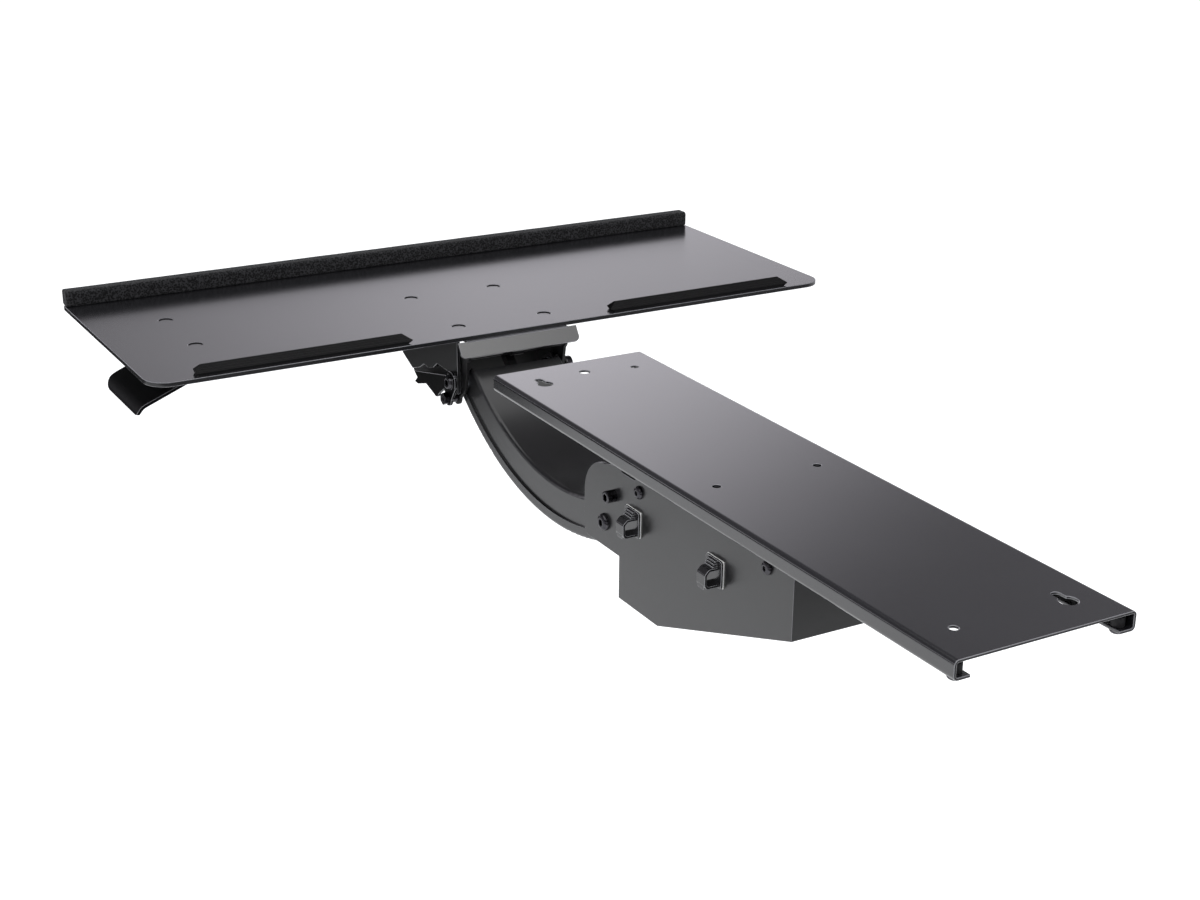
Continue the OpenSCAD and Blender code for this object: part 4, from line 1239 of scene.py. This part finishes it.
@dataclass
class Studio:
    """A plain pale room with soft light, and the photographed view. Lengths are in metres."""

    azimuth: float = math.radians(150.04)
    elevation: float = math.radians(20.64)
    roll: float = math.radians(0.57)
    camera_at: tuple[float, float, float] = (0.75563, 1.06745, 0.50890)
    lens_mm: float = 57.9
    sensor_mm: float = 36.0
    sight: tuple[float, float] = (0.05, 60.0)
    floor_z: float = -0.70
    floor_side: float = 40.0
    floor_paint: str = "#e9e9e9"
    floor_glow: float = 0.62
    # Painted shade on the floor, as reflections and bounced light see it, for the lamps' light
    # falling off: where the floor is dark and where pale, by its Y, and how dark it gets.
    floor_front: tuple[float, float, float] = (-2.12, -1.76, 0.05)
    floor_rear: tuple[float, float, float] = (1.4, 0.95, 0.12)
    white: str = "#ffffff"
    fill_colour: str = "#f4f6fa"
    fill: float = 0.62
    screen_colour: str = "#faf7ff"
    screen_strength: float = 1.25
    ceiling: float = 0.1
    # Brightness of the room's pale screen as gloss sees it, by angle in degrees: from straight
    # ahead of the tray to its left, by that angle and the height together, and by the height.
    screen_aside: Pairs = ((0, 0.12), (9, 0.25), (15, 0.45), (20, 0.65), (26, 1.0), (75, 1.0))
    screen_slant: Pairs = (
        (46, 1.0), (52, 0.78), (56, 0.48), (61, 0.18), (64, 0.11), (72, 0.2), (90, 0.2),
    )  # fmt: skip
    screen_above: Pairs = ((0, 1.0), (27, 1.0), (38, 0.2), (90, 0.2))
    # The bright foot of the walls on the other sides, in the same way.
    band_aside: Pairs = ((0, 1.0), (5, 0.0), (80, 0.0), (90, 1.0))
    band_above: Pairs = ((0, 1.0), (4, 1.0), (8, 0.0), (90, 0.0))
    widest: float = 90.0
    aim: tuple[float, float, float] = (0.0, -0.15, -0.05)
    lamps: tuple[Lamp, ...] = (
        Lamp("softbox_above", (0.3, 0.4, 2.6), 4.6, 64.0),
        Lamp("softbox_right", (2.4, 0.6, 1.2), 1.6, 24.0, mirrored=False),
        Lamp("softbox_rear", (-0.8, 1.2, 1.9), 1.3, 14.0),
    )

    def camera(self) -> None:
        """Sets the camera where the photographed one stood."""
        data = bpy.data.cameras.new("camera")
        data.sensor_fit = "HORIZONTAL"
        data.sensor_width = self.sensor_mm
        data.lens = self.lens_mm
        data.clip_start, data.clip_end = self.sight
        level = math.cos(self.elevation)
        away = (math.sin(self.azimuth) * level, -math.cos(self.azimuth) * level)
        back = Vector((*away, math.sin(self.elevation)))
        right = (-back).cross(Vector((0, 0, 1))).normalized()
        up = right.cross(-back)
        c, s = math.cos(self.roll), math.sin(self.roll)
        right, up = right * c + up * s, up * c - right * s
        turned = Matrix((right, up, back)).transposed().to_4x4()
        made = put("camera", data)
        made.matrix_world = Matrix.Translation(Vector(self.camera_at)) @ turned
        bpy.context.scene.camera = made

    def floor(self) -> None:
        """Lays the pale floor well below the tray, where the room's own floor is."""
        mesh = bmesh.new()
        half = self.floor_side / 2
        corners = [(-half, -half), (half, -half), (half, half), (-half, half)]
        mesh.faces.new([mesh.verts.new((x, y, self.floor_z)) for x, y in corners])
        data = bpy.data.meshes.new("floor")
        mesh.to_mesh(data)
        mesh.free()
        made = bpy.data.materials.new("painted_floor")
        made.use_nodes = True
        tree = made.node_tree
        tree.nodes.clear()
        path = add_node(tree, "ShaderNodeLightPath")
        where = add_node(tree, "ShaderNodeNewGeometry")
        parts = add_node(tree, "ShaderNodeSeparateXYZ", {}, {0: where.outputs["Position"]})
        front, rear = (
            add_node(
                tree,
                "ShaderNodeMapRange",
                {
                    "interpolation_type": "SMOOTHSTEP", "From Min": dark_y, "From Max": pale_y,
                    "To Min": level, "To Max": 1.0,
                },
                {"Value": parts.outputs["Y"]},
            )
            for dark_y, pale_y, level in (self.floor_front, self.floor_rear)
        )  # fmt: skip
        # The floor's paint is darkened by Y for all rays but the camera's: painted shade.
        lit = add_node(tree, "ShaderNodeMath", {"operation": "MULTIPLY"}, {0: front, 1: rear})
        paint = add_node(tree, "ShaderNodeBsdfDiffuse", {"Color": linear(self.floor_paint)})
        shaded = add_node(tree, "ShaderNodeMixShader", {}, {0: lit, 2: paint})
        glow = add_node(
            tree, "ShaderNodeEmission", {"Color": linear(self.white), "Strength": self.floor_glow}
        )
        both = add_node(tree, "ShaderNodeAddShader", {}, {0: paint, 1: glow})
        mixed = {0: path.outputs["Is Camera Ray"], 1: shaded, 2: both}
        seen = add_node(tree, "ShaderNodeMixShader", {}, mixed)
        add_node(tree, "ShaderNodeOutputMaterial", {}, {"Surface": seen})
        data.materials.append(made)
        put("floor", data)

    def world(self) -> None:
        """Lights the room evenly and gives gloss a wide pale screen beyond the tray."""
        world = bpy.data.worlds.new("room")
        bpy.context.scene.world = world
        world.use_nodes = True
        tree = world.node_tree
        tree.nodes.clear()
        path = add_node(tree, "ShaderNodeLightPath")
        way = add_node(tree, "ShaderNodeTexCoord").outputs["Generated"]
        flip = {"operation": "MULTIPLY", 1: (-1.0, -1.0, 1.0)}
        turned = add_node(tree, "ShaderNodeVectorMath", flip, {0: way})
        x, y, z = add_node(tree, "ShaderNodeSeparateXYZ", {}, {0: turned}).outputs
        aside = add_node(tree, "ShaderNodeMath", {"operation": "ARCTAN2"}, {0: x, 1: y})
        above = add_node(tree, "ShaderNodeMath", {"operation": "ARCSINE"}, {0: z})
        slant = add_node(tree, "ShaderNodeMath", {"operation": "ADD"}, {0: aside, 1: above})
        ramps = []
        for angle, levels in (
            (aside, self.screen_aside), (slant, self.screen_slant), (above, self.screen_above),
            (aside, self.band_aside), (above, self.band_above),
        ):  # fmt: skip
            most = {"operation": "DIVIDE", 1: math.radians(self.widest)}
            share = add_node(tree, "ShaderNodeMath", most, {0: angle})
            ramp = add_node(tree, "ShaderNodeValToRGB", {}, {"Fac": share})
            stops = ramp.color_ramp.elements
            while len(stops) < len(levels):
                stops.new(0.5)
            for stop, (degrees, level) in zip(stops, levels):
                stop.position = degrees / self.widest
                stop.color = (level, level, level, 1.0)
            ramps.append(ramp)
        times, larger = {"operation": "MULTIPLY"}, {"operation": "MAXIMUM"}
        flat = add_node(tree, "ShaderNodeMath", times, {0: ramps[0], 1: ramps[1]})
        screen = add_node(tree, "ShaderNodeMath", times, {0: flat, 1: ramps[2]})
        band = add_node(tree, "ShaderNodeMath", times, {0: ramps[3], 1: ramps[4]})
        either = add_node(tree, "ShaderNodeMath", larger, {0: screen, 1: band})
        level = add_node(tree, "ShaderNodeMath", {**larger, 1: self.ceiling}, {0: either})
        scale = {**times, 1: self.screen_strength}
        strong = add_node(tree, "ShaderNodeMath", scale, {0: level})
        pale = {"Color": linear(self.screen_colour)}
        mirrored = add_node(tree, "ShaderNodeBackground", pale, {"Strength": strong})
        fill, white = (
            add_node(tree, "ShaderNodeBackground", {"Color": linear(colour), "Strength": strength})
            for colour, strength in ((self.fill_colour, self.fill), (self.white, 1.0))
        )
        mixed = {0: path.outputs["Is Glossy Ray"], 1: fill, 2: mirrored}
        lighting = add_node(tree, "ShaderNodeMixShader", {}, mixed)
        mixed = {0: path.outputs["Is Camera Ray"], 1: lighting, 2: white}
        seen = add_node(tree, "ShaderNodeMixShader", {}, mixed)
        add_node(tree, "ShaderNodeOutputWorld", {}, {"Surface": seen})

    def build(self) -> None:
        """Sets up the whole room."""
        self.camera()
        self.floor()
        self.world()
        for lamp in self.lamps:
            lamp.hang(Vector(self.aim))
        bpy.context.scene.view_settings.view_transform = "Standard"


def main() -> None:
    """Loads the frame, builds the sub-assemblies in order and sets the room."""
    logging.basicConfig(level=logging.INFO, format="%(name)s: %(message)s")
    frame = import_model()
    record = frame["record"]
    owner = {n: body for body, names in record["behaviour"]["bodies"].items() for n in names}
    slots = {row["node"]: row["material_slot"] for row in record["subparts"]}
    Studio().build()
    for kind in (SlideTrack, Carriage, SwivelBase, LiftArm, TiltHead, Tray, ReleasePaddle):
        group = kind(frame["nodes"], owner, slots)
        group.build()
        log.info("%s: %s", kind.__name__, ", ".join(group.made))


if __name__ == "__main__":
    main()
